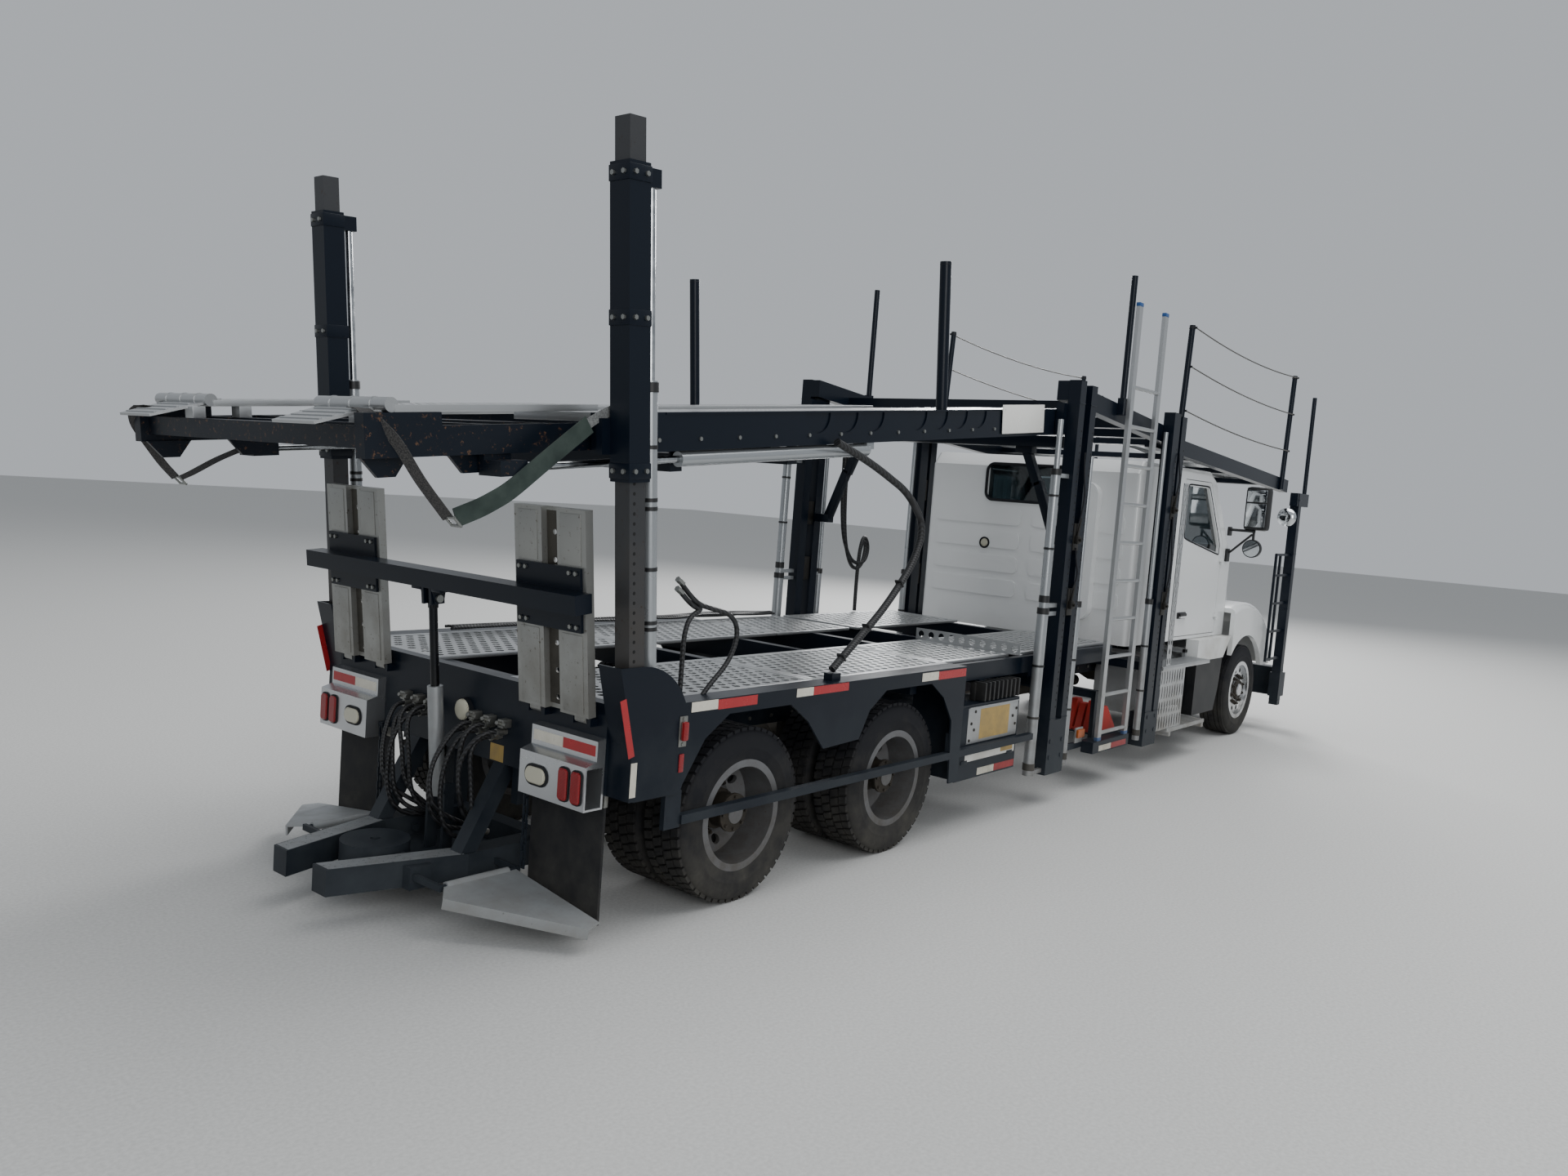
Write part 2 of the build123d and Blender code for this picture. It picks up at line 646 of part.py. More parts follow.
with BuildPart() as hood:
    hood_form(HOOD_SECTIONS, Mode.ADD)
    fender_form(FENDER_Y, FENDER_INNER, 0, Mode.ADD)
    crown_edges = [
        edge
        for edge in hood.edges()
        if abs(edge.center().Y) > FENDER_Y - 1 and (edge.center().Z > 1150 or edge.center().X > ahead(650))
    ]
    fillet(crown_edges, FENDER_EDGE)
    hood_form(HOOD_VOIDS, Mode.SUBTRACT)
    fender_form(FENDER_Y - HOOD_WALL, FENDER_INNER - 40, HOOD_WALL, Mode.SUBTRACT)
    for side in (1, -1):
        for level in range(3):
            bar(
                (behind(380), behind(200)),
                (side * 850, side * 1000),
                (1560 + 70 * level, 1595 + 70 * level),
                Mode.SUBTRACT,
            )
        bar(
            (ahead(LAMP_SEAT), ahead(HOOD_FRONT)),
            (side * (LAMP_Y[0] - SEAT_GAP), side * (LAMP_Y[1] + SEAT_GAP)),
            (LAMP_Z[0] - SEAT_GAP, LAMP_Z[1] + SEAT_GAP),
            Mode.SUBTRACT,
        )
        bar(
            (ahead(HOOD_FRONT - 60), ahead(HOOD_FRONT + 10)),
            (side * 60, side * 470),
            (860, 1300),
            Mode.SUBTRACT,
        )
    cross_pin(ahead(0), TYRE_RADIUS, ARCH_RADIUS, FENDER_Y + 10, -FENDER_Y - 10, Mode.SUBTRACT)
    bar((behind(HOOD_REAR + 20), ahead(880)), (-FENDER_Y - 10, FENDER_Y + 10), (600, 700), Mode.SUBTRACT)
    bar((behind(HOOD_REAR + 20), ahead(500)), (-520, 520), (690, 900), Mode.SUBTRACT)
    for level in range(5):
        z = 905 + 80 * level
        bar((ahead(HOOD_FRONT - 42), ahead(HOOD_FRONT - 20)), (-475, 475), (z, z + 20))
    for side in (1, -1):
        bar(
            (ahead(HOOD_HINGE_X - 35), ahead(HOOD_FRONT + 1)),
            (side * 335, side * 445),
            (HOOD_HINGE_Z - 60, HOOD_HINGE_Z + 55),
            Mode.SUBTRACT,
        )
        for y in (310, 450):
            bar(
                (ahead(HOOD_HINGE_X - 25), ahead(HOOD_FRONT - 39)),
                (side * y, side * (y + 20)),
                (HOOD_HINGE_Z - 28, HOOD_HINGE_Z + 28),
            )
        cross_pin(ahead(HOOD_HINGE_X), HOOD_HINGE_Z, HOOD_PIN, side * 390 + 75, side * 390 - 75)
hood.part.label = "hood"
export_step(hood.part, "parts/hood.step")

# Head lamps in the fenders, one each side
with BuildPart() as head_lamps:
    for side in (1, -1):
        bar((ahead(LAMP_SEAT) + SEAT_GAP, ahead(LAMP_FRONT)), (side * LAMP_Y[0], side * LAMP_Y[1]), LAMP_Z)
head_lamps.part.label = "head_lamps"
export_step(head_lamps.part, "parts/head_lamps.step")

# Front bumper with the nose posts on its ends and the frame extensions that carry it
with BuildPart() as nose_frame:
    side_sheet(
        [
            (ahead(BUMPER_REAR), 330),
            (ahead(BUMPER_REAR), 640),
            (ahead(BUMPER_FRONT - 40), 640),
            (ahead(BUMPER_FRONT), 600),
            (ahead(BUMPER_FRONT), 370),
            (ahead(BUMPER_FRONT - 40), 330),
        ],
        1190,
        -1190,
    )
    for side in (1, -1):
        bar((ahead(FRAME_FRONT), ahead(BUMPER_REAR + 10)), (side * 350, side * 430), (400, 640))
        bar((ahead(FRAME_FRONT - 80), ahead(FRAME_FRONT)), (side * 350, side * 418), (400, FRAME_BOTTOM))
        bar(
            (ahead(FRAME_FRONT + 1), ahead(HOOD_HINGE_X + 24)),
            (side * 350, side * 430),
            (640, HOOD_HINGE_Z + 24),
        )
        cross_pin(
            ahead(HOOD_HINGE_X),
            HOOD_HINGE_Z,
            HOOD_PIN + FIT_GAP,
            side * 390 + 45,
            side * 390 - 45,
            Mode.SUBTRACT,
        )
        bar(
            (ahead(NOSE_POST_X - 45), ahead(NOSE_POST_X + 45)),
            (side * 1195, side * 1285),
            (250, NOSE_POST_TOP),
        )
        bar((ahead(NOSE_POST_X - 45), ahead(BUMPER_REAR + 20)), (side * 1175, side * 1285), (340, 600))
        bar(
            (ahead(NOSE_POST_X - 90), ahead(NOSE_STAKE_X + 40)),
            (side * 1200, side * 1280),
            (NOSE_POST_TOP - 140, NOSE_POST_TOP),
        )
        upright(ahead(NOSE_STAKE_X), side * 1240, 22, NOSE_POST_TOP - 1, NOSE_STAKE_TOP)
        for x in (-560, -420):
            bar((ahead(-x) - 12, ahead(-x) + 12), (side * 1230, side * 1254), (750, 1900))
        for z in (760, 1060, 1360, 1660, 1880):
            bar((ahead(420), ahead(NOSE_POST_X)), (side * 1230, side * 1254), (z, z + 24))
nose_frame.part.label = "nose_frame"
export_step(nose_frame.part, "parts/nose_frame.step")

# Fuel tanks under the cab sides
with BuildPart() as fuel_tanks:
    for side in (1, -1):
        with BuildSketch(Plane(origin=(behind(2050), 0, 0), x_dir=(0, 1, 0), z_dir=(1, 0, 0))) as section:
            with Locations((side * 740, 640)):
                RectangleRounded(560, 560, 200)
        extrude(section.sketch, amount=1250)
        bar((behind(1900), behind(1840)), (side * 430, side * 500), (620, 860))
        bar((behind(1100), behind(1040)), (side * 430, side * 500), (620, 860))
fuel_tanks.part.label = "fuel_tanks"
export_step(fuel_tanks.part, "parts/fuel_tanks.step")

# Cab steps: two aluminium treads a side, their carriers and the slotted guard panels
with BuildPart() as cab_steps:
    for side in (1, -1):
        for x0, x1, y0, z in ((2250, 1340, 1060, 290), (2480, 1350, 1060, 860)):
            bar((behind(x0), behind(x1)), (side * y0, side * 1280), (z, z + 35))
        bar((behind(2520), behind(1930)), (side * 1262, side * 1268), (325, 860))
        bar((behind(2400), behind(2300)), (side * 1262, side * 1268), (895, 2500))
        for x in (2200, 1400):
            bar((behind(x), behind(x - 40)), (side * 1020, side * 1280), (250, 290))
            bar((behind(x), behind(x - 40)), (side * 1025, side * 1060), (250, FRAME_TOP))
            bar((behind(x), behind(x - 40)), (side * (RAIL_Y + SEAT_GAP), side * 1060), (925, FRAME_TOP))
cab_steps.part.label = "cab_steps"
export_step(cab_steps.part, "parts/cab_steps.step")

# Dark plastic skirts and white fairings behind the front wheels
with BuildPart() as side_skirts:
    for side in (1, -1):
        side_sheet(
            [
                (behind(1330), 330),
                (behind(1330), 850),
                (behind(640), 850),
                (behind(680), 560),
                (behind(760), 330),
            ],
            side * 1090 + 60,
            side * 1090 - 60,
        )
        side_sheet(
            [
                (behind(1330), 850 + SEAT_GAP),
                (behind(1330), 1055),
                (behind(COWL_X + 15), 1055),
                (behind(620), 850 + SEAT_GAP),
            ],
            side * 1090 + 60,
            side * 1090 - 60,
        )
        bar((behind(1300), behind(1200)), (side * 430, side * 1035), (925, 955))
side_skirts.part.label = "side_skirts"
export_step(side_skirts.part, "parts/side_skirts.step")

# Side sills of the lower deck with their wheel arches, and the underrun bars they carry
SILL_ARCHES = [
    (behind(SILL_REAR), 690),
    (behind(SILL_REAR), DECK_TOP),
    (behind(SILL_FRONT), DECK_TOP),
    (behind(SILL_FRONT), 370),
    (behind(5960), 370),
    (behind(5990), 790),
    (behind(6110), 950),
    (behind(6260), 1050),
    (behind(6760), 1050),
    (behind(6920), 945),
    (behind(7010), 785),
    (behind(7345), 770),
    (behind(7500), 940),
    (behind(7660), 1048),
    (behind(8150), 1048),
    (behind(8320), 940),
    (behind(8460), 735),
    (behind(8480), 690),
]
UNDERRUN_Z = 575.0
with BuildPart() as side_sills:
    for side in (1, -1):
        side_sheet(SILL_ARCHES, side * (SIDE_Y - 6) + 6, side * (SIDE_Y - 6) - 6)
        bar(
            (behind(GUARD_FOOT + 11), behind(SILL_FRONT)),
            (side * (1149 + SEAT_GAP), side * (SIDE_Y - 12)),
            (DECK_TOP - 80, DECK_TOP),
        )
        bar(
            (behind(SILL_FRONT + 12), behind(SILL_FRONT)),
            (side * 900, side * (SIDE_Y - 12)),
            (370, DECK_TOP - 80),
        )
        bar(
            (behind(8450), behind(4831)),
            (side * (SIDE_Y - 45), side * SIDE_Y),
            (UNDERRUN_Z - 45, UNDERRUN_Z),
        )
        for x in (8450, 5865):
            bar(
                (behind(x + 110), behind(x)),
                (side * (SIDE_Y - 40), side * (SIDE_Y - 12)),
                (UNDERRUN_Z - 60, 700),
            )
    bar((behind(7240), behind(7160)), (-1230, -1170), (DECK_TOP, DECK_TOP + 40))
side_sills.part.label = "side_sills"
export_step(side_sills.part, "parts/side_sills.step")

# Lower deck frame: crossbeams on the rails, deep rear crossmember and post base guards
with BuildPart() as deck_frame:
    for x in (8700, 8150, 7208, 6260, 5400, 4700, 3400):
        bar((behind(x) - 35, behind(x) + 35), (-1149, 1149), (FRAME_TOP, DECK_TOP - FLOOR_THICK - SEAT_GAP))
    bar((behind(CROSSMEMBER_X), behind(SILL_REAR + 1)), (-1149, 1149), (700, DECK_TOP))
    for side in (1, -1):
        bar((behind(CROSSMEMBER_X - 40), behind(FRAME_REAR - 10)), (side * 430, side * 480), (500, 700))
        bar((behind(5849), behind(3300)), (side * 1100, side * 1149), (DECK_TOP - 140, DECK_TOP - 20.3))
        with BuildSketch(Plane(origin=(0, side * GUARD_Y, 0), x_dir=(1, 0, 0), z_dir=(0, -1, 0))) as guard:
            with BuildLine():
                ThreePointArc((behind(8480), 1100), (behind(8600), 1270), (behind(8760), GUARD_TOP))
                Polyline(
                    (behind(8760), GUARD_TOP),
                    (behind(8930), GUARD_TOP),
                    (behind(GUARD_FOOT), 960),
                    (behind(GUARD_FOOT), 700),
                    (behind(8560), 700),
                    (behind(8480), 860),
                    (behind(8480), 1100),
                )
            make_face()
        extrude(guard.sketch, amount=-side * GUARD_THICK)
        side_sheet(
            [
                (behind(8930), GUARD_TOP),
                (behind(8918), GUARD_TOP),
                (behind(GUARD_FOOT - 12), 960),
                (behind(GUARD_FOOT - 12), 700),
                (behind(GUARD_FOOT), 700),
                (behind(GUARD_FOOT), 960),
            ],
            *sorted((side * 1150, side * (GUARD_Y + 1)), reverse=True),
        )
        for y in (PLATE_INNER + 90, PLATE_OUTER - 90):
            cross_pin(behind(PLATE_HINGE_X), PLATE_HINGE_Z, HINGE_BORE, side * (y - 75), side * (y + 75))
            for offset in (-60, 60):
                bar(
                    (behind(PLATE_HINGE_X + 18), behind(CROSSMEMBER_X)),
                    (side * (y + offset - 12), side * (y + offset + 12)),
                    (PLATE_HINGE_Z - 25, PLATE_HINGE_Z + 14),
                )
        bar((behind(GUARD_FOOT - 11), behind(SILL_REAR + 1)), (side * 1149, side * (GUARD_Y + 1)), (700, 800))
deck_frame.part.label = "deck_frame"
export_step(deck_frame.part, "parts/deck_frame.step")

# Perforated aluminium floors: two wheel tracks below, and the panels over the bridge
FLOOR_PANELS = [
    # from, to, inner edge, outer edge, top
    (8780, 7300, 330, 1145, DECK_TOP),
    (7295, 5860, 330, 1145, DECK_TOP),
    (5845, 4950, 330, 1095, DECK_TOP),
    (4850, 3300, 330, 1095, DECK_TOP),
]
with BuildPart() as deck_floor:
    for x_from, x_to, inner, outer, top in FLOOR_PANELS:
        for side in (1, -1):
            bar((behind(x_from), behind(x_to)), (side * inner, side * outer), (top - FLOOR_THICK, top))
            for row in range(8):
                y = inner + 50 + row * 95
                bar(
                    (behind(x_from) + 60, behind(x_from) + 110),
                    (side * y, side * (y + 30)),
                    (top - FLOOR_THICK, top),
                    Mode.SUBTRACT,
                )
deck_floor.part.label = "deck_floor"
export_step(deck_floor.part, "parts/deck_floor.step")

# Rear posts: bare square tubes with a column of pin holes, leaning to the rear
LEAN = math.radians(REAR_POST_LEAN)
REAR_POST_PLANE = Plane(
    origin=(behind(REAR_POST_X), 0, REAR_POST_BASE),
    x_dir=(math.cos(LEAN), 0, math.sin(LEAN)),
    z_dir=(-math.sin(LEAN), 0, math.cos(LEAN)),
)


def up_post(z):
    """Distance along a leaning rear post to a height above the ground."""
    return (z - REAR_POST_BASE) / math.cos(LEAN)


LIFT_X = 125.0
LIFT_ROD = 20.0
LIFT_BARREL = 33.0
LIFT_BARREL_TOP = 2620.0
HALF_TUBE = REAR_TUBE / 2
with BuildPart(REAR_POST_PLANE) as rear_posts:
    for side in (1, -1):
        bar(
            (-HALF_TUBE, HALF_TUBE),
            (side * (POST_Y - HALF_TUBE), side * (POST_Y + HALF_TUBE)),
            (0, up_post(REAR_POST_TOP)),
        )
rear_posts.part.label = "rear_posts"
export_step(rear_posts.part, "parts/rear_posts.step")

# Lift cylinders: bored barrels beside the rear posts, whole cylinders beside the side posts
SIDE_CYLINDERS = [
    # behind the front axle, bottom, barrel top, rod top, barrel radius, reach to its post
    (4770, 250, 1480, 1481, 40, 180),
    (4770, 1480, 2480, 2830, 34, 180),
    (4220, 260, 1515, 2600, 28, -95),
    (2850, 290, 1500, 2900, 30, 45),
]
with BuildPart() as lift_barrels:
    with Locations(REAR_POST_PLANE.location):
        for side in (1, -1):
            with Locations((LIFT_X, side * POST_Y, 0)):
                Cylinder(LIFT_BARREL, up_post(LIFT_BARREL_TOP), align=(Align.CENTER, Align.CENTER, Align.MIN))
                with Locations((0, 0, 120)):
                    Cylinder(
                        LIFT_ROD + FIT_GAP,
                        up_post(LIFT_BARREL_TOP) - 120,
                        align=(Align.CENTER, Align.CENTER, Align.MIN),
                        mode=Mode.SUBTRACT,
                    )
            bar((HALF_TUBE, LIFT_X - 24), (side * (POST_Y - 20), side * (POST_Y + 20)), (10, 60))
    for x, bottom, barrel_top, rod_top, radius, reach in SIDE_CYLINDERS:
        for side in (1, -1):
            upright(behind(x), side * 1240, radius, bottom, barrel_top)
            upright(behind(x), side * 1240, radius * 0.6, barrel_top, rod_top)
            for z in (bottom, barrel_top - 60):
                bar((behind(x), behind(x) + reach), (side * 1225, side * 1255), (z, z + 30))
lift_barrels.part.label = "lift_barrels"
export_step(lift_barrels.part, "parts/lift_barrels.step")

# Lift rods: they run in the barrels and hang the sleeves from their lugs
with BuildPart(REAR_POST_PLANE) as lift_rods:
    for side in (1, -1):
        with Locations((LIFT_X, side * POST_Y, 140)):
            Cylinder(LIFT_ROD, up_post(SLEEVE_TOP - 90) - 140, align=(Align.CENTER, Align.CENTER, Align.MIN))
lift_rods.part.label = "lift_rods"
export_step(lift_rods.part, "parts/lift_rods.step")

# Rear sleeves: they slide on the posts and carry the upper deck by their brackets
SLEEVE_HALF = HALF_TUBE + SEAT_GAP + SLEEVE_WALL
with BuildPart(REAR_POST_PLANE) as rear_sleeves:
    for side in (1, -1):
        inner = HALF_TUBE + SEAT_GAP
        bar(
            (-SLEEVE_HALF, SLEEVE_HALF),
            (side * (POST_Y - SLEEVE_HALF), side * (POST_Y + SLEEVE_HALF)),
            (up_post(SLEEVE_BOTTOM), up_post(SLEEVE_TOP)),
        )
        bar(
            (-inner, inner),
            (side * (POST_Y - inner), side * (POST_Y + inner)),
            (up_post(SLEEVE_BOTTOM) - 10, up_post(SLEEVE_TOP) + 10),
            Mode.SUBTRACT,
        )
        bar(
            (SLEEVE_HALF, LIFT_X + 35),
            (side * (POST_Y - 30), side * (POST_Y + 30)),
            (up_post(SLEEVE_TOP - 90), up_post(SLEEVE_TOP - 10)),
        )
        bar(
            (-110, 110),
            (side * (DECK_RAIL_Y + 8), side * (POST_Y - SLEEVE_HALF)),
            (up_post(2290), up_post(2450)),
        )
rear_sleeves.part.label = "rear_sleeves"
export_step(rear_sleeves.part, "parts/rear_sleeves.step")

# Side posts: a pair at the middle and one beside the cab, each side
SIDE_POSTS = [
    # behind the front axle, width along X, bottom, top
    (4545, 90, POST_BASE, MID_POST_TOP),
    (4360, 90, POST_BASE, MID_POST_TOP - 20),
    (2740, 130, POST_BASE, CAB_POST_TOP),
    (2580, 100, POST_BASE, CAB_POST_TOP - 20),
]
with BuildPart() as side_posts:
    for x, width, bottom, top in SIDE_POSTS:
        for side in (1, -1):
            bar(
                (behind(x) - width / 2, behind(x) + width / 2),
                (side * 1190, side * SIDE_Y),
                (bottom, top),
            )
    for side in (1, -1):
        bar((behind(2690), behind(2570)), (side * 1195, side * 1240), (2760, 2900))
        cross_pin(behind(RAMP_PIVOT_X), RAMP_PIVOT_Z, PIVOT_RADIUS, side * 1230, side * 1000)
        bar((behind(4590), behind(4315)), (side * 1150, side * SIDE_Y), (POST_BASE, 640))
        bar((behind(2805), behind(2530)), (side * 1150, side * SIDE_Y), (POST_BASE, 520))
        bar((behind(4600), behind(4310)), (side * 430, side * 1190), (880, 960))
        bar((behind(2805), behind(2530)), (side * 430, side * 1190), (880, 950))
        bar((behind(4640), behind(4450)), (side * 1131, side * 1191), (2740, 2960))
        cross_pin(behind(DECK_PIVOT_X), DECK_PIVOT_Z, PIVOT_RADIUS, side * 1190, side * 1040)
        bar((behind(4316), behind(2804)), (side * 1165, side * 1185), (330, 380 - SEAT_GAP))
        bar((behind(3790), behind(3110)), (side * 1184, side * SIDE_Y), (290, 380 - SEAT_GAP))
        bar((behind(3600), behind(3520)), (side * 430, side * 1180), (700, 760))
        bar((behind(3600), behind(3520)), (side * 1145, side * 1180), (330, 701))
side_posts.part.label = "side_posts"
export_step(side_posts.part, "parts/side_posts.step")

# Bridge between the middle posts and the cab posts
with BuildPart() as bridge_frame:
    for side in (1, -1):
        side_sheet(
            [
                (behind(4591), 3125),
                (behind(4591), 2985),
                (behind(2690), 2815),
                (behind(2690), 2955),
            ],
            side * 1145 + 44.7,
            side * 1145 - 44.7,
        )
        bar((behind(3745), behind(3675)), (side * 1189, side * 1240), (2960, 3090))
        upright(behind(3710), side * 1216, 24, 2970, 4030)
    for x in (4100, 3400, 2950):
        z = 2990 + (4625 - x) * (2800 - 2990) / (4625 - 2530)
        bar((behind(x) - 60, behind(x) + 60), (-1101, 1101), (z, z + 80))
bridge_frame.part.label = "bridge_frame"
export_step(bridge_frame.part, "parts/bridge_frame.step")

# Upper deck: it hinges on the middle posts and slopes down to the rear
SLOPE = math.radians(DECK_SLOPE)
DECK_PLANE = Plane(
    origin=(behind(DECK_PIVOT_X), 0, DECK_PIVOT_Z),
    x_dir=(math.cos(SLOPE), 0, math.sin(SLOPE)),
    z_dir=(-math.sin(SLOPE), 0, math.cos(SLOPE)),
)
RAIL_INNER = DECK_RAIL_Y - DECK_RAIL_WIDTH
SLIDE_BEAM = (960.0, 1025.0)
SLIDE_BEAM_TOP = 28.0
LOW_CROSSMEMBERS = (-3000, -3900)
SCALLOPS = (-2880, -2620, -2360, -1900, -1660, -1420, -1180)
SCALLOP_RADIUS = 110.0
FLANGE_RUN = (-4050.0, -250.0)
SCALLOP_DEPTH = 8.0
STAKE_X = -1560.0
STAKE_RADIUS = 36.0
STAKE_HEIGHT = 930.0
with BuildPart(DECK_PLANE) as upper_deck_frame:
    for side in (1, -1):
        bar(
            (-DECK_LENGTH, 60),
            (side * RAIL_INNER, side * DECK_RAIL_Y),
            (-DECK_RAIL_DOWN, DECK_RAIL_UP),
        )
        with Locations(Location((0, side * (RAIL_INNER + DECK_RAIL_WIDTH / 2), 0), (90, 0, 0))):
            Cylinder(PIVOT_RADIUS + FIT_GAP, DECK_RAIL_WIDTH + 2, mode=Mode.SUBTRACT)
        for x in SCALLOPS:
            with Locations(Location((x, side * DECK_RAIL_Y, DECK_RAIL_UP - 12), (90, 0, 0))):
                Cylinder(SCALLOP_RADIUS, 2 * SCALLOP_DEPTH, mode=Mode.SUBTRACT)
        bar(FLANGE_RUN, (side * RAIL_INNER, side * (DECK_RAIL_Y + 6)), (DECK_RAIL_UP - 10, DECK_RAIL_UP))
        for x in LOW_CROSSMEMBERS:
            bar((x - 40, x + 40), (side * (RAIL_INNER - 4), side * (RAIL_INNER + 5)), (-215, -60))
        with Locations((STAKE_X, side * (DECK_RAIL_Y - 45), DECK_RAIL_UP - 20)):
            Cylinder(STAKE_RADIUS, STAKE_HEIGHT, align=(Align.CENTER, Align.CENTER, Align.MIN))
    for x in (-300, -1300, -2100):
        bar((x - 40, x + 40), (-RAIL_INNER, RAIL_INNER), (-100, 20))
    for x in LOW_CROSSMEMBERS:
        bar((x - 40, x + 40), (-RAIL_INNER, RAIL_INNER), (-215, -125))
upper_deck_frame.part.label = "upper_deck_frame"
export_step(upper_deck_frame.part, "parts/upper_deck_frame.step")

# Upper deck tracks: perforated aluminium strips on the crossmembers
with BuildPart(DECK_PLANE) as upper_deck_tracks:
    for side in (1, -1):
        bar((-DECK_LENGTH, -110), (side * TRACK_INNER, side * (RAIL_INNER - SEAT_GAP)), (35, DECK_RAIL_UP))
        for x in (-300, -1300, -2100):
            bar((x - 40, x + 40), (side * TRACK_INNER, side * (TRACK_INNER + 60)), (20.3, 36))
upper_deck_tracks.part.label = "upper_deck_tracks"
export_step(upper_deck_tracks.part, "parts/upper_deck_tracks.step")

# Deck extension: it slides out of the upper deck to the rear on its own beams
ROD_Y = 1081.0
ROD_Z = -152.0
SLIDE_TOP = DECK_RAIL_UP + 6
with BuildPart(DECK_PLANE) as extension_frame:
    for side in (1, -1):
        bar((-DECK_TIP + 120, -3500), (side * SLIDE_BEAM[0], side * SLIDE_BEAM[1]), (-95, SLIDE_BEAM_TOP))
        bar((-DECK_TIP + 120, -5220), (side * SLIDE_BEAM[0], side * SLIDE_BEAM[1]), (-95, SLIDE_TOP))
        bar((-5010, -4870), (side * 970, side * 1010), (-185, -94))
        bar((-5010, -4870), (side * 970, side * 1122), (-185, -120))
        for x in (-5490, -5090):
            with BuildSketch(
                Plane(
                    origin=DECK_PLANE.from_local_coords((0, side * 960, 0)),
                    x_dir=DECK_PLANE.x_dir,
                    z_dir=Vector(0, side, 0),
                )
            ) as gusset:
                Polygon(
                    (x - 60, side * 94),
                    (x + 150, side * 94),
                    (x + 90, side * 175),
                    (x + 10, side * 175),
                    align=None,
                )
            extrude(gusset.sketch, amount=-20)
    for x in (-4620, -4950, -5280, -5500):
        bar((x - 30, x + 30), (-SLIDE_BEAM[0], SLIDE_BEAM[0]), (-60, SLIDE_BEAM_TOP))
extension_frame.part.label = "extension_frame"
export_step(extension_frame.part, "parts/extension_frame.step")

# Extension tracks: a roller bar at the rear and tip plates that point down behind it
TIP_DROOP = math.radians(DECK_SLOPE + 13)
TIP_PLANE = Plane(
    origin=DECK_PLANE.from_local_coords((-DECK_TIP + 290, 0, SLIDE_TOP + 22)),
    x_dir=(math.cos(TIP_DROOP), 0, math.sin(TIP_DROOP)),
    z_dir=(-math.sin(TIP_DROOP), 0, math.cos(TIP_DROOP)),
)
with BuildPart(DECK_PLANE) as extension_tracks:
    for side in (1, -1):
        with BuildSketch(TIP_PLANE) as tip:
            Polygon((20, side * 500), (20, side * 940), (-297, side * 880), (-297, side * 560), align=None)
        extrude(tip.sketch, amount=12)
        bar(
            (-DECK_TIP + 260, -DECK_LENGTH + 60),
            (side * TRACK_INNER, side * TRACK_OUTER),
            (SLIDE_TOP + SEAT_GAP, SLIDE_TOP + 30),
        )
        roller = (-DECK_TIP + 250, side * (TRACK_INNER + TRACK_OUTER) / 2, SLIDE_TOP + 30)
        with Locations(Location(roller, (90, 0, 0))):
            Cylinder(30, TRACK_OUTER - TRACK_INNER - 10)
        for x in (-5280, -5500):
            bar(
                (x - 30, x + 30),
                (side * TRACK_INNER, side * (TRACK_INNER + 80)),
                (SLIDE_BEAM_TOP + SEAT_GAP, SLIDE_TOP + 1),
            )
extension_tracks.part.label = "extension_tracks"
export_step(extension_tracks.part, "parts/extension_tracks.step")

# Slide cylinders under the deck rails: bored barrels on the deck, rods on the extension
with BuildPart(DECK_PLANE) as slide_barrels:
    for side in (1, -1):
        with Locations(Location((-2370, side * ROD_Y, ROD_Z), (0, -90, 0))):
            Cylinder(38, 1560, align=(Align.CENTER, Align.CENTER, Align.MIN))
            with Locations((0, 0, 60)):
                Cylinder(
                    18 + FIT_GAP, 1500, align=(Align.CENTER, Align.CENTER, Align.MIN), mode=Mode.SUBTRACT
                )
        bar((-2400, -2330), (side * (ROD_Y - 30), side * (ROD_Y + 30)), (-150, -DECK_RAIL_DOWN))
slide_barrels.part.label = "slide_barrels"
export_step(slide_barrels.part, "parts/slide_barrels.step")

with BuildPart(DECK_PLANE) as slide_rods:
    for side in (1, -1):
        with Locations(Location((-3300, side * ROD_Y, ROD_Z), (0, -90, 0))):
            Cylinder(18, 1570 - SEAT_GAP, align=(Align.CENTER, Align.CENTER, Align.MIN))
slide_rods.part.label = "slide_rods"
export_step(slide_rods.part, "parts/slide_rods.step")

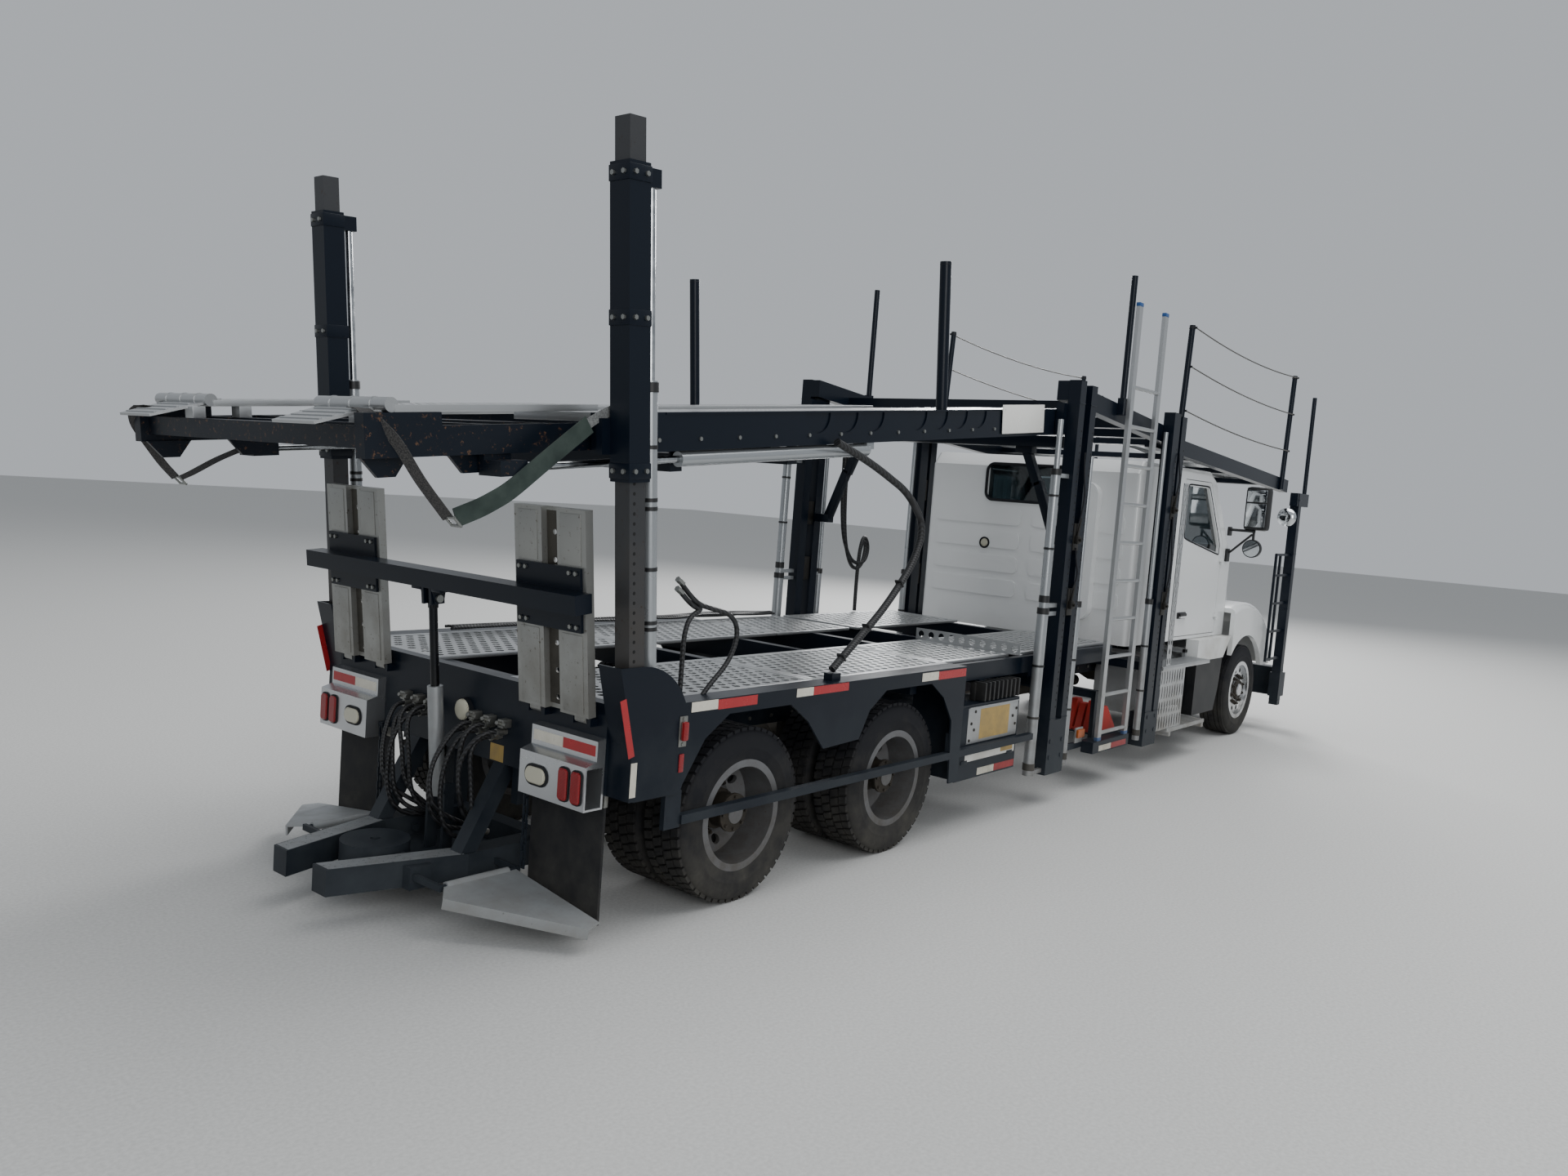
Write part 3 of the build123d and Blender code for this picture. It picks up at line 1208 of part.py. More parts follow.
# Head ramp over the cab: rails, crossmembers and the guard poles
RAMP_ANGLE = math.radians(RAMP_SLOPE)
RAMP_PLANE = Plane(
    origin=(behind(RAMP_PIVOT_X), 0, RAMP_PIVOT_Z),
    x_dir=(math.cos(RAMP_ANGLE), 0, math.sin(RAMP_ANGLE)),
    z_dir=(-math.sin(RAMP_ANGLE), 0, math.cos(RAMP_ANGLE)),
)
RAMP_HALF = RAMP_RAIL_DEPTH / 2
RAMP_INNER = RAMP_RAIL_Y - RAMP_RAIL_WIDTH
RAMP_START = 150.0
with BuildPart(RAMP_PLANE) as head_ramp_frame:
    for side in (1, -1):
        bar((RAMP_START, RAMP_LENGTH), (side * RAMP_INNER, side * RAMP_RAIL_Y), (-RAMP_HALF, RAMP_HALF))
        bar((-60, RAMP_START), (side * 1000, side * 1090), (-50, 40))
        bar((RAMP_START, RAMP_START + 80), (side * 1000, side * RAMP_INNER), (-50, 40))
        with Locations(Location((0, side * 1045, 0), (90, 0, 0))):
            Cylinder(PIVOT_RADIUS + FIT_GAP, 100, mode=Mode.SUBTRACT)
        for x, y, height in ((180, 1195, 1100), (3120, 1195, 1200)):
            with Locations((x, side * y, -RAMP_HALF)):
                Cylinder(25, height, align=(Align.CENTER, Align.CENTER, Align.MIN))
    for x in (190, 1250, 2300, 3300):
        bar((x - 40, x + 40), (-RAMP_INNER, RAMP_INNER), (-10, 40))
head_ramp_frame.part.label = "head_ramp_frame"
export_step(head_ramp_frame.part, "parts/head_ramp_frame.step")

with BuildPart(RAMP_PLANE) as head_ramp_tracks:
    for side in (1, -1):
        bar((RAMP_START, RAMP_LENGTH), (side * TRACK_INNER, side * 1060), (40 + SEAT_GAP, RAMP_HALF + 10))
    bar((2700, 3380), (-TRACK_INNER, TRACK_INNER), (40 + SEAT_GAP, 80))
head_ramp_tracks.part.label = "head_ramp_tracks"
export_step(head_ramp_tracks.part, "parts/head_ramp_tracks.step")

# Rear flip plates with their crossbar, hinged on the deck's rear edge
TILT = math.radians(PLATE_LEAN)
PLATE_PLANE = Plane(
    origin=(behind(PLATE_HINGE_X), 0, PLATE_HINGE_Z),
    x_dir=(math.cos(TILT), 0, math.sin(TILT)),
    z_dir=(-math.sin(TILT), 0, math.cos(TILT)),
)
with BuildPart(PLATE_PLANE) as flip_plates:
    for side in (1, -1):
        bar((-PLATE_THICK, 0), (side * PLATE_INNER, side * PLATE_OUTER), (24, PLATE_HEIGHT))
        middle = (PLATE_INNER + PLATE_OUTER) / 2
        bar(
            (-PLATE_THICK - 1, -PLATE_THICK + 35),
            (side * (middle - 55), side * (middle + 55)),
            (20, PLATE_HEIGHT + 10),
            Mode.SUBTRACT,
        )
        for row in range(14):
            with Locations(Location((-PLATE_THICK / 2, side * middle, 80 + 66 * row), (0, 90, 0))):
                Cylinder(14, PLATE_THICK + 4, mode=Mode.SUBTRACT)
        for y in (PLATE_INNER + 90, PLATE_OUTER - 90):
            bar((-18, 0), (side * (y - 40), side * (y + 40)), (-4, 30))
            with Locations(Location((0, side * y, 0), (90, 0, 0))):
                Cylinder(HINGE_BORE + 6, 80)
            with Locations(Location((0, side * y, 0), (90, 0, 0))):
                Cylinder(HINGE_BORE + FIT_GAP, 82, mode=Mode.SUBTRACT)
flip_plates.part.label = "flip_plates"
export_step(flip_plates.part, "parts/flip_plates.step")

BAR_Z = 575.0
with BuildPart(PLATE_PLANE) as flip_crossbar:
    bar((-PLATE_THICK - 115, -PLATE_THICK - 15), (-1150, 1150), (BAR_Z - 45, BAR_Z + 45))
    for side in (1, -1):
        bar(
            (-PLATE_THICK - 15, -PLATE_THICK - SEAT_GAP),
            (side * (PLATE_INNER + 25), side * (PLATE_OUTER - 25)),
            (BAR_Z - 150, BAR_Z + 150),
        )
        bar((-PLATE_THICK - 110, -PLATE_THICK - 30), (side * 22, side * 42), (BAR_Z - 130, BAR_Z - 45))
    with Locations(Location((-PLATE_THICK - 70, 0, BAR_Z - 100), (90, 0, 0))):
        Cylinder(14, 84)
flip_crossbar.part.label = "flip_crossbar"
export_step(flip_crossbar.part, "parts/flip_crossbar.step")

# Lift cylinder of the flip plates: barrel on its foot pin, rod with an open eye
FLIP_PIN_X = behind(8950)
FLIP_PIN_Z = 500.0
FLIP_EYE_LOCAL = (-PLATE_THICK - 70, BAR_Z - 100)
FLIP_BARREL_TOP = 550.0
FLIP_ROD_START = 480.0
FLIP_EYE_X = behind(PLATE_HINGE_X) + FLIP_EYE_LOCAL[0] * math.cos(TILT) - FLIP_EYE_LOCAL[1] * math.sin(TILT)
FLIP_EYE_Z = PLATE_HINGE_Z + FLIP_EYE_LOCAL[0] * math.sin(TILT) + FLIP_EYE_LOCAL[1] * math.cos(TILT)
FLIP_LENGTH = math.hypot(FLIP_EYE_X - FLIP_PIN_X, FLIP_EYE_Z - FLIP_PIN_Z)
FLIP_PLANE = Plane(
    origin=(FLIP_PIN_X, 0, FLIP_PIN_Z),
    x_dir=((FLIP_EYE_Z - FLIP_PIN_Z) / FLIP_LENGTH, 0, -(FLIP_EYE_X - FLIP_PIN_X) / FLIP_LENGTH),
    z_dir=((FLIP_EYE_X - FLIP_PIN_X) / FLIP_LENGTH, 0, (FLIP_EYE_Z - FLIP_PIN_Z) / FLIP_LENGTH),
)
with BuildPart(FLIP_PLANE) as flip_barrel:
    with Locations((0, 0, -30)):
        Cylinder(40, FLIP_BARREL_TOP + 30, align=(Align.CENTER, Align.CENTER, Align.MIN))
    with Locations(Location((0, 0, 0), (90, 0, 0))):
        Cylinder(16 + FIT_GAP, 100, mode=Mode.SUBTRACT)
    with Locations((0, 0, 60)):
        Cylinder(
            22 + FIT_GAP,
            FLIP_BARREL_TOP,
            align=(Align.CENTER, Align.CENTER, Align.MIN),
            mode=Mode.SUBTRACT,
        )
flip_barrel.part.label = "flip_barrel"
export_step(flip_barrel.part, "parts/flip_barrel.step")

with BuildPart(FLIP_PLANE) as flip_rod:
    with Locations((0, 0, FLIP_ROD_START)):
        Cylinder(22, FLIP_LENGTH - FLIP_ROD_START - 26, align=(Align.CENTER, Align.CENTER, Align.MIN))
    with Locations(Location((0, 0, FLIP_LENGTH - 38), (0, 0, 0))):
        Box(36, 40, 30)
flip_rod.part.label = "flip_rod"
export_step(flip_rod.part, "parts/flip_rod.step")

# Tool boxes ahead of the drive wheels, with a plain lower panel
with BuildPart() as tool_boxes:
    for side in (1, -1):
        bar((behind(5800), behind(4985)), (side * 960, side * (SIDE_Y - 55)), (440, 850))
        bar((behind(5800), behind(4985)), (side * (SIDE_Y - 75), side * (SIDE_Y - 55)), (340, 440))
        bar((behind(5600), behind(5200)), (side * 430, side * 960), (720, 760))
tool_boxes.part.label = "tool_boxes"
export_step(tool_boxes.part, "parts/tool_boxes.step")

# Ladder on the right side: two rails, rungs and its foot bracket
LADDER_Y = -1262.0
LADDER_FOOT = 380.0
LADDER_TOP = 3830.0
LADDER_PITCH = 305.0
with BuildPart() as ladder:
    for x in (3670, 3160):
        bar((behind(x) - 32, behind(x) + 32), (LADDER_Y - 15, LADDER_Y + 15), (LADDER_FOOT, LADDER_TOP))
    for rung in range(10):
        along(behind(3650), behind(3180), LADDER_Y, LADDER_FOOT + 60 + LADDER_PITCH * rung, 14)
ladder.part.label = "ladder"
export_step(ladder.part, "parts/ladder.step")

# Stepped aluminium light boxes at the rear, with their lamps
LIGHT_BOX = (674.0, 1149.0)
with BuildPart() as light_boxes:
    for side in (1, -1):
        side_sheet(
            [
                (behind(CROSSMEMBER_X + 0.3), 640),
                (behind(8965), 640),
                (behind(8965), 850),
                (behind(8900), 870),
                (behind(8900), 965),
                (behind(CROSSMEMBER_X + 0.3), 975),
            ],
            *sorted((side * LIGHT_BOX[0], side * LIGHT_BOX[1]), reverse=True),
        )
        bar(
            (behind(8957), behind(CROSSMEMBER_X + 12)),
            (side * (LIGHT_BOX[0] + 12), side * (LIGHT_BOX[1] + 1)),
            (650, 838),
            Mode.SUBTRACT,
        )
light_boxes.part.label = "light_boxes"
export_step(light_boxes.part, "parts/light_boxes.step")

REAR_LAMPS = [
    # y, width, height
    (1095, 62, 150),
    (1005, 62, 150),
    (805, 150, 80),
]
with BuildPart() as rear_lamps:
    for y, width, height in REAR_LAMPS:
        for side in (1, -1):
            bar(
                (behind(8983), behind(8965 + SEAT_GAP)),
                (side * y - width / 2, side * y + width / 2),
                (745 - height / 2, 745 + height / 2),
            )
    along(behind(CROSSMEMBER_X + 30), behind(CROSSMEMBER_X + SEAT_GAP), -75, 925, 62)
rear_lamps.part.label = "rear_lamps"
export_step(rear_lamps.part, "parts/rear_lamps.step")

# Mud flaps behind the drive wheels
with BuildPart() as mud_flaps:
    for side in (1, -1):
        bar((behind(8830), behind(8815)), (side * 620, side * 1140), (70, 700 - SEAT_GAP))
mud_flaps.part.label = "mud_flaps"
export_step(mud_flaps.part, "parts/mud_flaps.step")

# Stinger: low frame behind the rear axle, hung from the rails, with its coupling plate
STINGER_TIP = 9700.0
STINGER_Z = (150.0, 280.0)
KINGPIN_BORE = 26.0
KINGPIN_X = 9300.0
WING_Y = 600.0
WING_Z = 215.0
WING_ROD = 12.0
CHAIN_Y = 640.0
CHAIN_PITCH = 39.0
CHAIN_LINKS = 12
LINK_WIDTH = 30.0
LINK_WIRE = 9.0
with BuildPart() as stinger_frame:
    for side in (1, -1):
        with BuildSketch(Plane(origin=(0, 0, STINGER_Z[0]))) as member:
            Polygon(
                (behind(8500), side * 300),
                (behind(8500), side * 430),
                (behind(9050), side * 430),
                (behind(STINGER_TIP), side * 240),
                (behind(STINGER_TIP), side * 120),
                (behind(9050), side * 300),
                align=None,
            )
        extrude(member.sketch, amount=STINGER_Z[1] - STINGER_Z[0])
        side_sheet(
            [
                (behind(8850), 699),
                (behind(8760), 699),
                (behind(9000), STINGER_Z[1] - 10),
                (behind(9090), STINGER_Z[1] - 10),
            ],
            side * 370 + 45,
            side * 370 - 45,
        )
        bar((behind(8600), behind(8500)), (side * 350, side * 430), (STINGER_Z[0], FRAME_BOTTOM))
    bar((behind(8600), behind(8500)), (-430, 430), STINGER_Z)
    bar((behind(STINGER_TIP - 350), behind(8600)), (-310, 310), (STINGER_Z[0], STINGER_Z[0] + 20))
    upright(behind(KINGPIN_X), 0, 170, STINGER_Z[0], STINGER_Z[1] + 20)
    bar((behind(KINGPIN_X + 60), behind(KINGPIN_X - 60)), (-400, 400), (STINGER_Z[0], STINGER_Z[1] - 20))
    upright(behind(KINGPIN_X), 0, KINGPIN_BORE, STINGER_Z[0] - 1, STINGER_Z[1] + 21, Mode.SUBTRACT)
    bar((behind(8960), behind(8900)), (60, 80), (STINGER_Z[0], 540))
    bar((behind(8960), behind(8900)), (-80, -60), (STINGER_Z[0], 540))
    cross_pin(behind(8950), 500, 16, 79, -79)
    for side in (1, -1):
        along(behind(9340), behind(8880), side * WING_Y, WING_Z, WING_ROD)
        for x in (9345, 8895):
            bar((behind(x), behind(x - 20)), (side * 250, side * (WING_Y + 16)), (WING_Z - 16, WING_Z + 16))
        bar((behind(8895), behind(CROSSMEMBER_X)), (side * (CHAIN_Y - 20), side * (CHAIN_Y + 20)), (700, 730))
        for link in range(CHAIN_LINKS):
            centre = (behind(8885), side * CHAIN_Y, 702 - CHAIN_PITCH * (link + 0.5))
            with Locations(Location(centre, (0, 0, 90 * (link % 2)))):
                Box(LINK_WIDTH, LINK_WIRE, CHAIN_PITCH + LINK_WIRE)
                Box(LINK_WIDTH - 2 * LINK_WIRE, LINK_WIRE, CHAIN_PITCH - LINK_WIRE, mode=Mode.SUBTRACT)
stinger_frame.part.label = "stinger_frame"
export_step(stinger_frame.part, "parts/stinger_frame.step")

# Wings beside the stinger: folded plates that droop from hinge rods, held by their chains
WING_DROOP = 8.0
with BuildPart() as wings:
    for side in (1, -1):
        slope = math.radians(side * WING_DROOP)
        wing_plane = Plane(
            origin=(0, side * WING_Y, WING_Z),
            x_dir=(1, 0, 0),
            z_dir=(0, math.sin(slope), math.cos(slope)),
        )
        with BuildSketch(wing_plane) as outline:
            Polygon(
                (behind(9320), 14 * side),
                (behind(8900), 14 * side),
                (behind(8900), side * 640),
                (behind(8990), side * 670),
                (behind(9390), side * 110),
                align=None,
            )
        extrude(outline.sketch, amount=8)
        with BuildSketch(wing_plane) as rim_line:
            Polygon(
                (behind(8982), side * 664),
                (behind(8990), side * 670),
                (behind(9390), side * 110),
                (behind(9382), side * 104),
                align=None,
            )
        extrude(rim_line.sketch, amount=-45)
        along(behind(9300), behind(8940), side * WING_Y, WING_Z, 22)
        along(behind(9310), behind(8930), side * WING_Y, WING_Z, WING_ROD + FIT_GAP, Mode.SUBTRACT)
wings.part.label = "wings"
export_step(wings.part, "parts/wings.step")

# Mirrors on their arms, outside the doors
with BuildPart() as mirrors:
    for side in (1, -1):
        bar((behind(560), behind(440)), (side * 1180, side * 1420), (2130, 2560))
        cross_pin(behind(500), 1950, 90, side * 1280 + 25, side * 1280 - 25)
        bar((behind(515), behind(485)), (side * 1270, side * 1295), (1980, 2200))
        bar((behind(600), behind(520)), (side * 1055, side * 1305), (2105, 2140))
        bar((behind(590), behind(480)), (side * 1050, side * 1080), (1800, 2120))
mirrors.part.label = "mirrors"
export_step(mirrors.part, "parts/mirrors.step")

# Hose bundle: it hangs from the upper deck and comes down to a clamp on the sill
HOSE_RADIUS = 22.0
HOSE_POINTS = [
    (behind(7208), -1200, DECK_TOP + 60),
    (behind(7052), -1205, 1310),
    (behind(6740), -1205, 1530),
    (behind(6470), -1200, 1790),
    (behind(6360), -1195, 2020),
    (behind(6560), -1190, 2220),
    (behind(6950), -1185, 2370),
    (behind(7300), -1180, 2470),
]


def route_radii(points):
    """Largest tangent arc at each inner corner of a route."""
    radii = []
    for before, corner, after in zip(points, points[1:], points[2:]):
        run_in = Vector(*corner) - Vector(*before)
        run_out = Vector(*after) - Vector(*corner)
        turn = math.radians(run_in.get_angle(run_out))
        radii.append(0.45 * min(run_in.length, run_out.length) / math.tan(turn / 2))
    return radii


def hose(points, radius):
    """A hose of round section along tangent arcs between the points."""
    with BuildLine() as route:
        FilletPolyline(*points, radius=route_radii(points))
    with BuildSketch(Plane(origin=points[0], z_dir=Vector(*points[1]) - Vector(*points[0]))) as section:
        Circle(radius)
    sweep(section.sketch, path=route.line)


with BuildPart() as hose_bundle:
    hose(HOSE_POINTS, HOSE_RADIUS)
hose_bundle.part.label = "hose_bundle"
export_step(hose_bundle.part, "parts/hose_bundle.step")
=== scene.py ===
import math
import random

import bmesh
import bpy
from mathutils import Matrix, Vector


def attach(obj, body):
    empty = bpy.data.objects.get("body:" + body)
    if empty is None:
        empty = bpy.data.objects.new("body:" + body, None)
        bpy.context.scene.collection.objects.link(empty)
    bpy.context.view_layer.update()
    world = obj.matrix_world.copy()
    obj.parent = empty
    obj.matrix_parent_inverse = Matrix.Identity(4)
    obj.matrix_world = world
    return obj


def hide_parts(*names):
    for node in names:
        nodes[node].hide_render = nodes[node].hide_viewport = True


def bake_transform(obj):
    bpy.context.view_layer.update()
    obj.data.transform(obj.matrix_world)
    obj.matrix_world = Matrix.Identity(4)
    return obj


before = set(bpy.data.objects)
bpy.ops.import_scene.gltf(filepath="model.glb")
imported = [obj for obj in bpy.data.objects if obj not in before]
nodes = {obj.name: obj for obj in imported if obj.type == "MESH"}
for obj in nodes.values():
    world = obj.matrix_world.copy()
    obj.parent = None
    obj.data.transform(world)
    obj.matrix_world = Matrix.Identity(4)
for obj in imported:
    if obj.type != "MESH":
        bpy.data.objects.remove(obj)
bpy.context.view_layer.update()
random.seed(11)

# Studio and camera. The truck stands on a pale matt floor under soft light. The camera is where
# the photograph was taken: behind the truck on its right, 2.2 m above the ground.
CAMERA_PLACE = Vector((-8.1177, -5.1931, 2.1924))
YAW, PITCH, ROLL = (math.radians(degrees) for degrees in (39.0913, 4.7481, -4.3516))
LENS_MM = 27.42
SENSOR_MM = 36.0
FLOOR_HALF = 60.0


def new_object(name, data):
    """A new object in the scene."""
    made = bpy.data.objects.new(name, data)
    bpy.context.scene.collection.objects.link(made)
    return made


forward = Vector((math.cos(YAW) * math.cos(PITCH), math.sin(YAW) * math.cos(PITCH), -math.sin(PITCH)))
level_right = Vector((math.sin(YAW), -math.cos(YAW), 0))
level_down = forward.cross(level_right)
right = level_right * math.cos(ROLL) + level_down * math.sin(ROLL)
down = level_down * math.cos(ROLL) - level_right * math.sin(ROLL)
camera_data = bpy.data.cameras.new("camera")
camera_data.lens = LENS_MM
camera_data.sensor_width = SENSOR_MM
camera = new_object("camera", camera_data)
camera.matrix_world = Matrix(
    [(right[axis], -down[axis], -forward[axis], CAMERA_PLACE[axis]) for axis in range(3)] + [(0, 0, 0, 1)]
)
bpy.context.scene.camera = camera


def linear(hex_colour):
    """An sRGB hex colour as the linear RGBA that a shader socket takes."""
    parts = [int(hex_colour[i : i + 2], 16) / 255 for i in (1, 3, 5)]
    return tuple(c / 12.92 if c <= 0.04045 else ((c + 0.055) / 1.055) ** 2.4 for c in parts) + (1.0,)


def add_node(tree, kind, links=None, inputs=None, stops=None, **settings):
    """Adds one shader node with its settings, input values, ramp stops and links."""
    made = tree.nodes.new(kind)
    for field, value in settings.items():
        setattr(made, field, value)
    for name, value in (inputs or {}).items():
        made.inputs[name].default_value = value
    if stops:
        ramp = made.color_ramp.elements
        ramp[0].position, ramp[-1].position = stops[0][0], stops[-1][0]
        ramp[0].color, ramp[-1].color = linear(stops[0][1]), linear(stops[-1][1])
    for name, source in (links or {}).items():
        tree.links.new(source, made.inputs[name])
    return made


def start_finish(name, metallic=0.0, roughness=0.5, **sockets):
    """A new material with its shader, and the object's own coordinates in metres."""
    material = bpy.data.materials.new(name)
    material.use_nodes = True
    tree = material.node_tree
    shader = tree.nodes["Principled BSDF"]
    for socket, value in {"Metallic": metallic, "Roughness": roughness, **sockets}.items():
        shader.inputs[socket.replace("_", " ")].default_value = value
    place = add_node(tree, "ShaderNodeTexCoord").outputs["Object"]
    return material, tree, shader, place


def noise_at(tree, place, scale, detail, roughness=0.5):
    """Cloudy noise between 0 and 1."""
    values = {"Scale": scale, "Detail": detail, "Roughness": roughness}
    return add_node(tree, "ShaderNodeTexNoise", {"Vector": place}, values).outputs["Fac"]


def rescaled(tree, source, from_min, from_max, to_min, to_max):
    """A value carried over from one range to another."""
    values = {"From Min": from_min, "From Max": from_max, "To Min": to_min, "To Max": to_max}
    return add_node(tree, "ShaderNodeMapRange", {"Value": source}, values).outputs["Result"]


def toned(name, stops, noise=None, wave=None, gloss=None, metallic=0.0, roughness=0.5, **sockets):
    """A finish coloured by noise (scale, detail) or by a wave (scale, direction, relief, depth in m)."""
    material, tree, shader, place = start_finish(name, metallic, roughness, **sockets)
    if wave:
        bands = add_node(
            tree, "ShaderNodeTexWave", {"Vector": place}, {"Scale": wave[0]}, bands_direction=wave[1]
        ).outputs["Fac"]
        relief = add_node(tree, "ShaderNodeBump", {"Height": bands}, {"Strength": wave[2], "Distance": wave[3]})
        tree.links.new(relief.outputs["Normal"], shader.inputs["Normal"])
    source = noise_at(tree, place, *noise) if noise else bands
    tone = add_node(tree, "ShaderNodeValToRGB", {"Fac": source}, stops=stops)
    tree.links.new(tone.outputs["Color"], shader.inputs["Base Color"])
    if gloss:
        tree.links.new(rescaled(tree, source, *gloss), shader.inputs["Roughness"])
    return material


floor_mesh = bpy.data.meshes.new("studio_floor")
floor_corners = [(x * FLOOR_HALF, y * FLOOR_HALF, 0) for x, y in ((-1, -1), (1, -1), (1, 1), (-1, 1))]
floor_mesh.from_pydata(floor_corners, [], [(0, 1, 2, 3)])
floor = new_object("studio_floor", floor_mesh)
floor_mesh.materials.append(
    toned("pale_studio_floor", [(0.3, "#b9b9b7"), (0.7, "#c8c8c6")], noise=(60.0, 4.0), roughness=0.9)
)

world = bpy.data.worlds.new("soft_studio")
world.use_nodes = True
world.node_tree.nodes["Background"].inputs["Color"].default_value = linear("#e3e8ee")
world.node_tree.nodes["Background"].inputs["Strength"].default_value = 0.62
bpy.context.scene.world = world
SOFT_LIGHTS = [
    # name, place, aimed at, size, watts
    ("sky_panel", (2.0, -3.0, 13.0), (0.0, 0.0, 1.0), 12.0, 1500.0),
    ("sun_panel", (15.0, 7.0, 10.0), (1.0, 0.0, 1.5), 6.0, 2600.0),
    ("camera_fill", (-10.0, -12.0, 5.0), (-2.0, 0.0, 1.2), 7.0, 620.0),
]
for name, spot, target, size, watts in SOFT_LIGHTS:
    lamp = bpy.data.lights.new(name, "AREA")
    lamp.shape = "SQUARE"
    lamp.size = size
    lamp.energy = watts
    holder = new_object(name, lamp)
    holder.location = spot
    holder.rotation_euler = (Vector(target) - Vector(spot)).to_track_quat("-Z", "Y").to_euler()

# Chassis frame: two rolled channel rails with pressed crossmembers, riveted together and sprayed
# with dark navy chassis enamel. The gloss is half hidden under road dust, thickest near the ground.
FRONT_AXLE = 4.490


def behind(metres):
    """Place along X of a point given behind the front axle."""
    return FRONT_AXLE - metres


def weathered(name, clean, dusty, worn, patch_mm, grain_mm, metallic=0.0, roughness=0.45,
              dust_top=2.2, wear=0.66, bump_mm=0.25, spread=0.18, **sockets):
    """A finish that changes in patches, gathers road dust low down and wears through in spots."""
    material, tree, shader, place = start_finish(name, metallic, roughness, **sockets)
    patches = noise_at(tree, place, 1000 / patch_mm, 7.0, 0.62)
    chips = noise_at(tree, place, 9000 / patch_mm, 9.0, 0.75)
    grain = noise_at(tree, place, 1000 / grain_mm, 3.0, 0.6)
    height = add_node(tree, "ShaderNodeSeparateXYZ", {"Vector": place}).outputs["Z"]
    low = rescaled(tree, height, dust_top, 0.1, 0.05, 0.95)
    dust = add_node(tree, "ShaderNodeMath", {0: patches, 1: low}, operation="MULTIPLY").outputs[0]
    dust_cover = rescaled(tree, dust, 0.18, 0.62, 0.0, 0.9)
    chip_cover = rescaled(tree, chips, wear, wear + 0.05, 0.0, 0.85)
    paint = {6: linear(clean), 7: linear(dusty)}
    coloured = add_node(tree, "ShaderNodeMix", {"Factor": dust_cover}, paint, data_type="RGBA").outputs[2]
    layers = {"Factor": chip_cover, 6: coloured}
    final = add_node(tree, "ShaderNodeMix", layers, {7: linear(worn)}, data_type="RGBA").outputs[2]
    gloss = rescaled(tree, dust, 0.1, 0.5, roughness - spread / 2, min(0.95, roughness + spread))
    relief = add_node(tree, "ShaderNodeBump", {"Height": grain}, {"Strength": 0.35, "Distance": bump_mm / 1000})
    for source, socket in ((final, "Base Color"), (gloss, "Roughness"), (relief.outputs["Normal"], "Normal")):
        tree.links.new(source, shader.inputs[socket])
    return material


def finish_nodes(material, *names):
    """Gives CAD nodes their finish in every material slot."""
    for name in names:
        slots = nodes[name].data.materials
        if not slots:
            slots.append(material)
        for index in range(len(slots)):
            slots[index] = material


navy_enamel = weathered(
    "navy_chassis_enamel_sprayed", "#0a131e", "#3a3f43", "#34332f", 420, 3.0,
    roughness=0.38, dust_top=1.5, wear=0.70, Specular_IOR_Level=0.22,
)
greasy_iron = weathered(
    "greasy_cast_iron", "#15130f", "#4c453b", "#2f2118", 160, 2.0, metallic=0.25, roughness=0.62, dust_top=1.4,
)
finish_nodes(navy_enamel, "frame_rails")
finish_nodes(greasy_iron, "axles", "knuckle_l", "knuckle_r", "engine_block")

# Bolt heads along both rails: zinc-plated M14 hexagons. They hold the crossmembers and hangers,
# two rows on each rail.
BOTH = (1, -1)
SIDES = ((1, "left"), (-1, "right"))


def put_round(bm, start, end, radius, end_radius=None, sides=16, matrix=None):
    """Adds a round bar or cone from one point to another."""
    start, end = ((matrix or Matrix()) @ Vector(point) for point in (start, end))
    turn = (end - start).to_track_quat("Z", "Y").to_matrix().to_4x4()
    bmesh.ops.create_cone(
        bm, cap_ends=True, segments=sides, radius1=radius, radius2=radius if end_radius is None else end_radius,
        depth=(end - start).length, matrix=Matrix.Translation((start + end) / 2) @ turn,
    )


def put_studs(bm, spots, y, radius, end_radius=None, sides=6, matrix=None):
    """Adds bolts, pins or plugs that point across the truck at (x, z) spots, the same on both sides."""
    for side in BOTH:
        for x, z in spots:
            put_round(bm, (x, side * y[0], z), (x, side * y[1], z), radius, end_radius, sides, matrix)


def finish_piece(name, bm, material, body="body", sharp=32):
    """Turns the mesh being made into a piece that rides on a body, with its finish."""
    bmesh.ops.recalc_face_normals(bm, faces=bm.faces)
    for face in bm.faces:
        face.smooth = True
    for edge in bm.edges:
        edge.smooth = len(edge.link_faces) == 2 and edge.calc_face_angle(0.0) < math.radians(sharp)
    mesh = bpy.data.meshes.new(name)
    bm.to_mesh(mesh)
    bm.free()
    mesh.materials.append(material)
    piece = new_object(name, mesh)
    if body:
        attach(piece, body)
    return piece


zinc_plate = weathered(
    "zinc_plated_steel", "#8d8f8c", "#6e675c", "#5c4a38", 60, 1.0, metallic=0.85, roughness=0.38, wear=0.68,
)
bm = bmesh.new()
put_studs(bm, [(behind(0.9 + 0.21 * step), z) for step in range(38) for z in (0.75, 0.91)], (0.430, 0.438), 0.013)
finish_piece("rail_bolts", bm, zinc_plate)

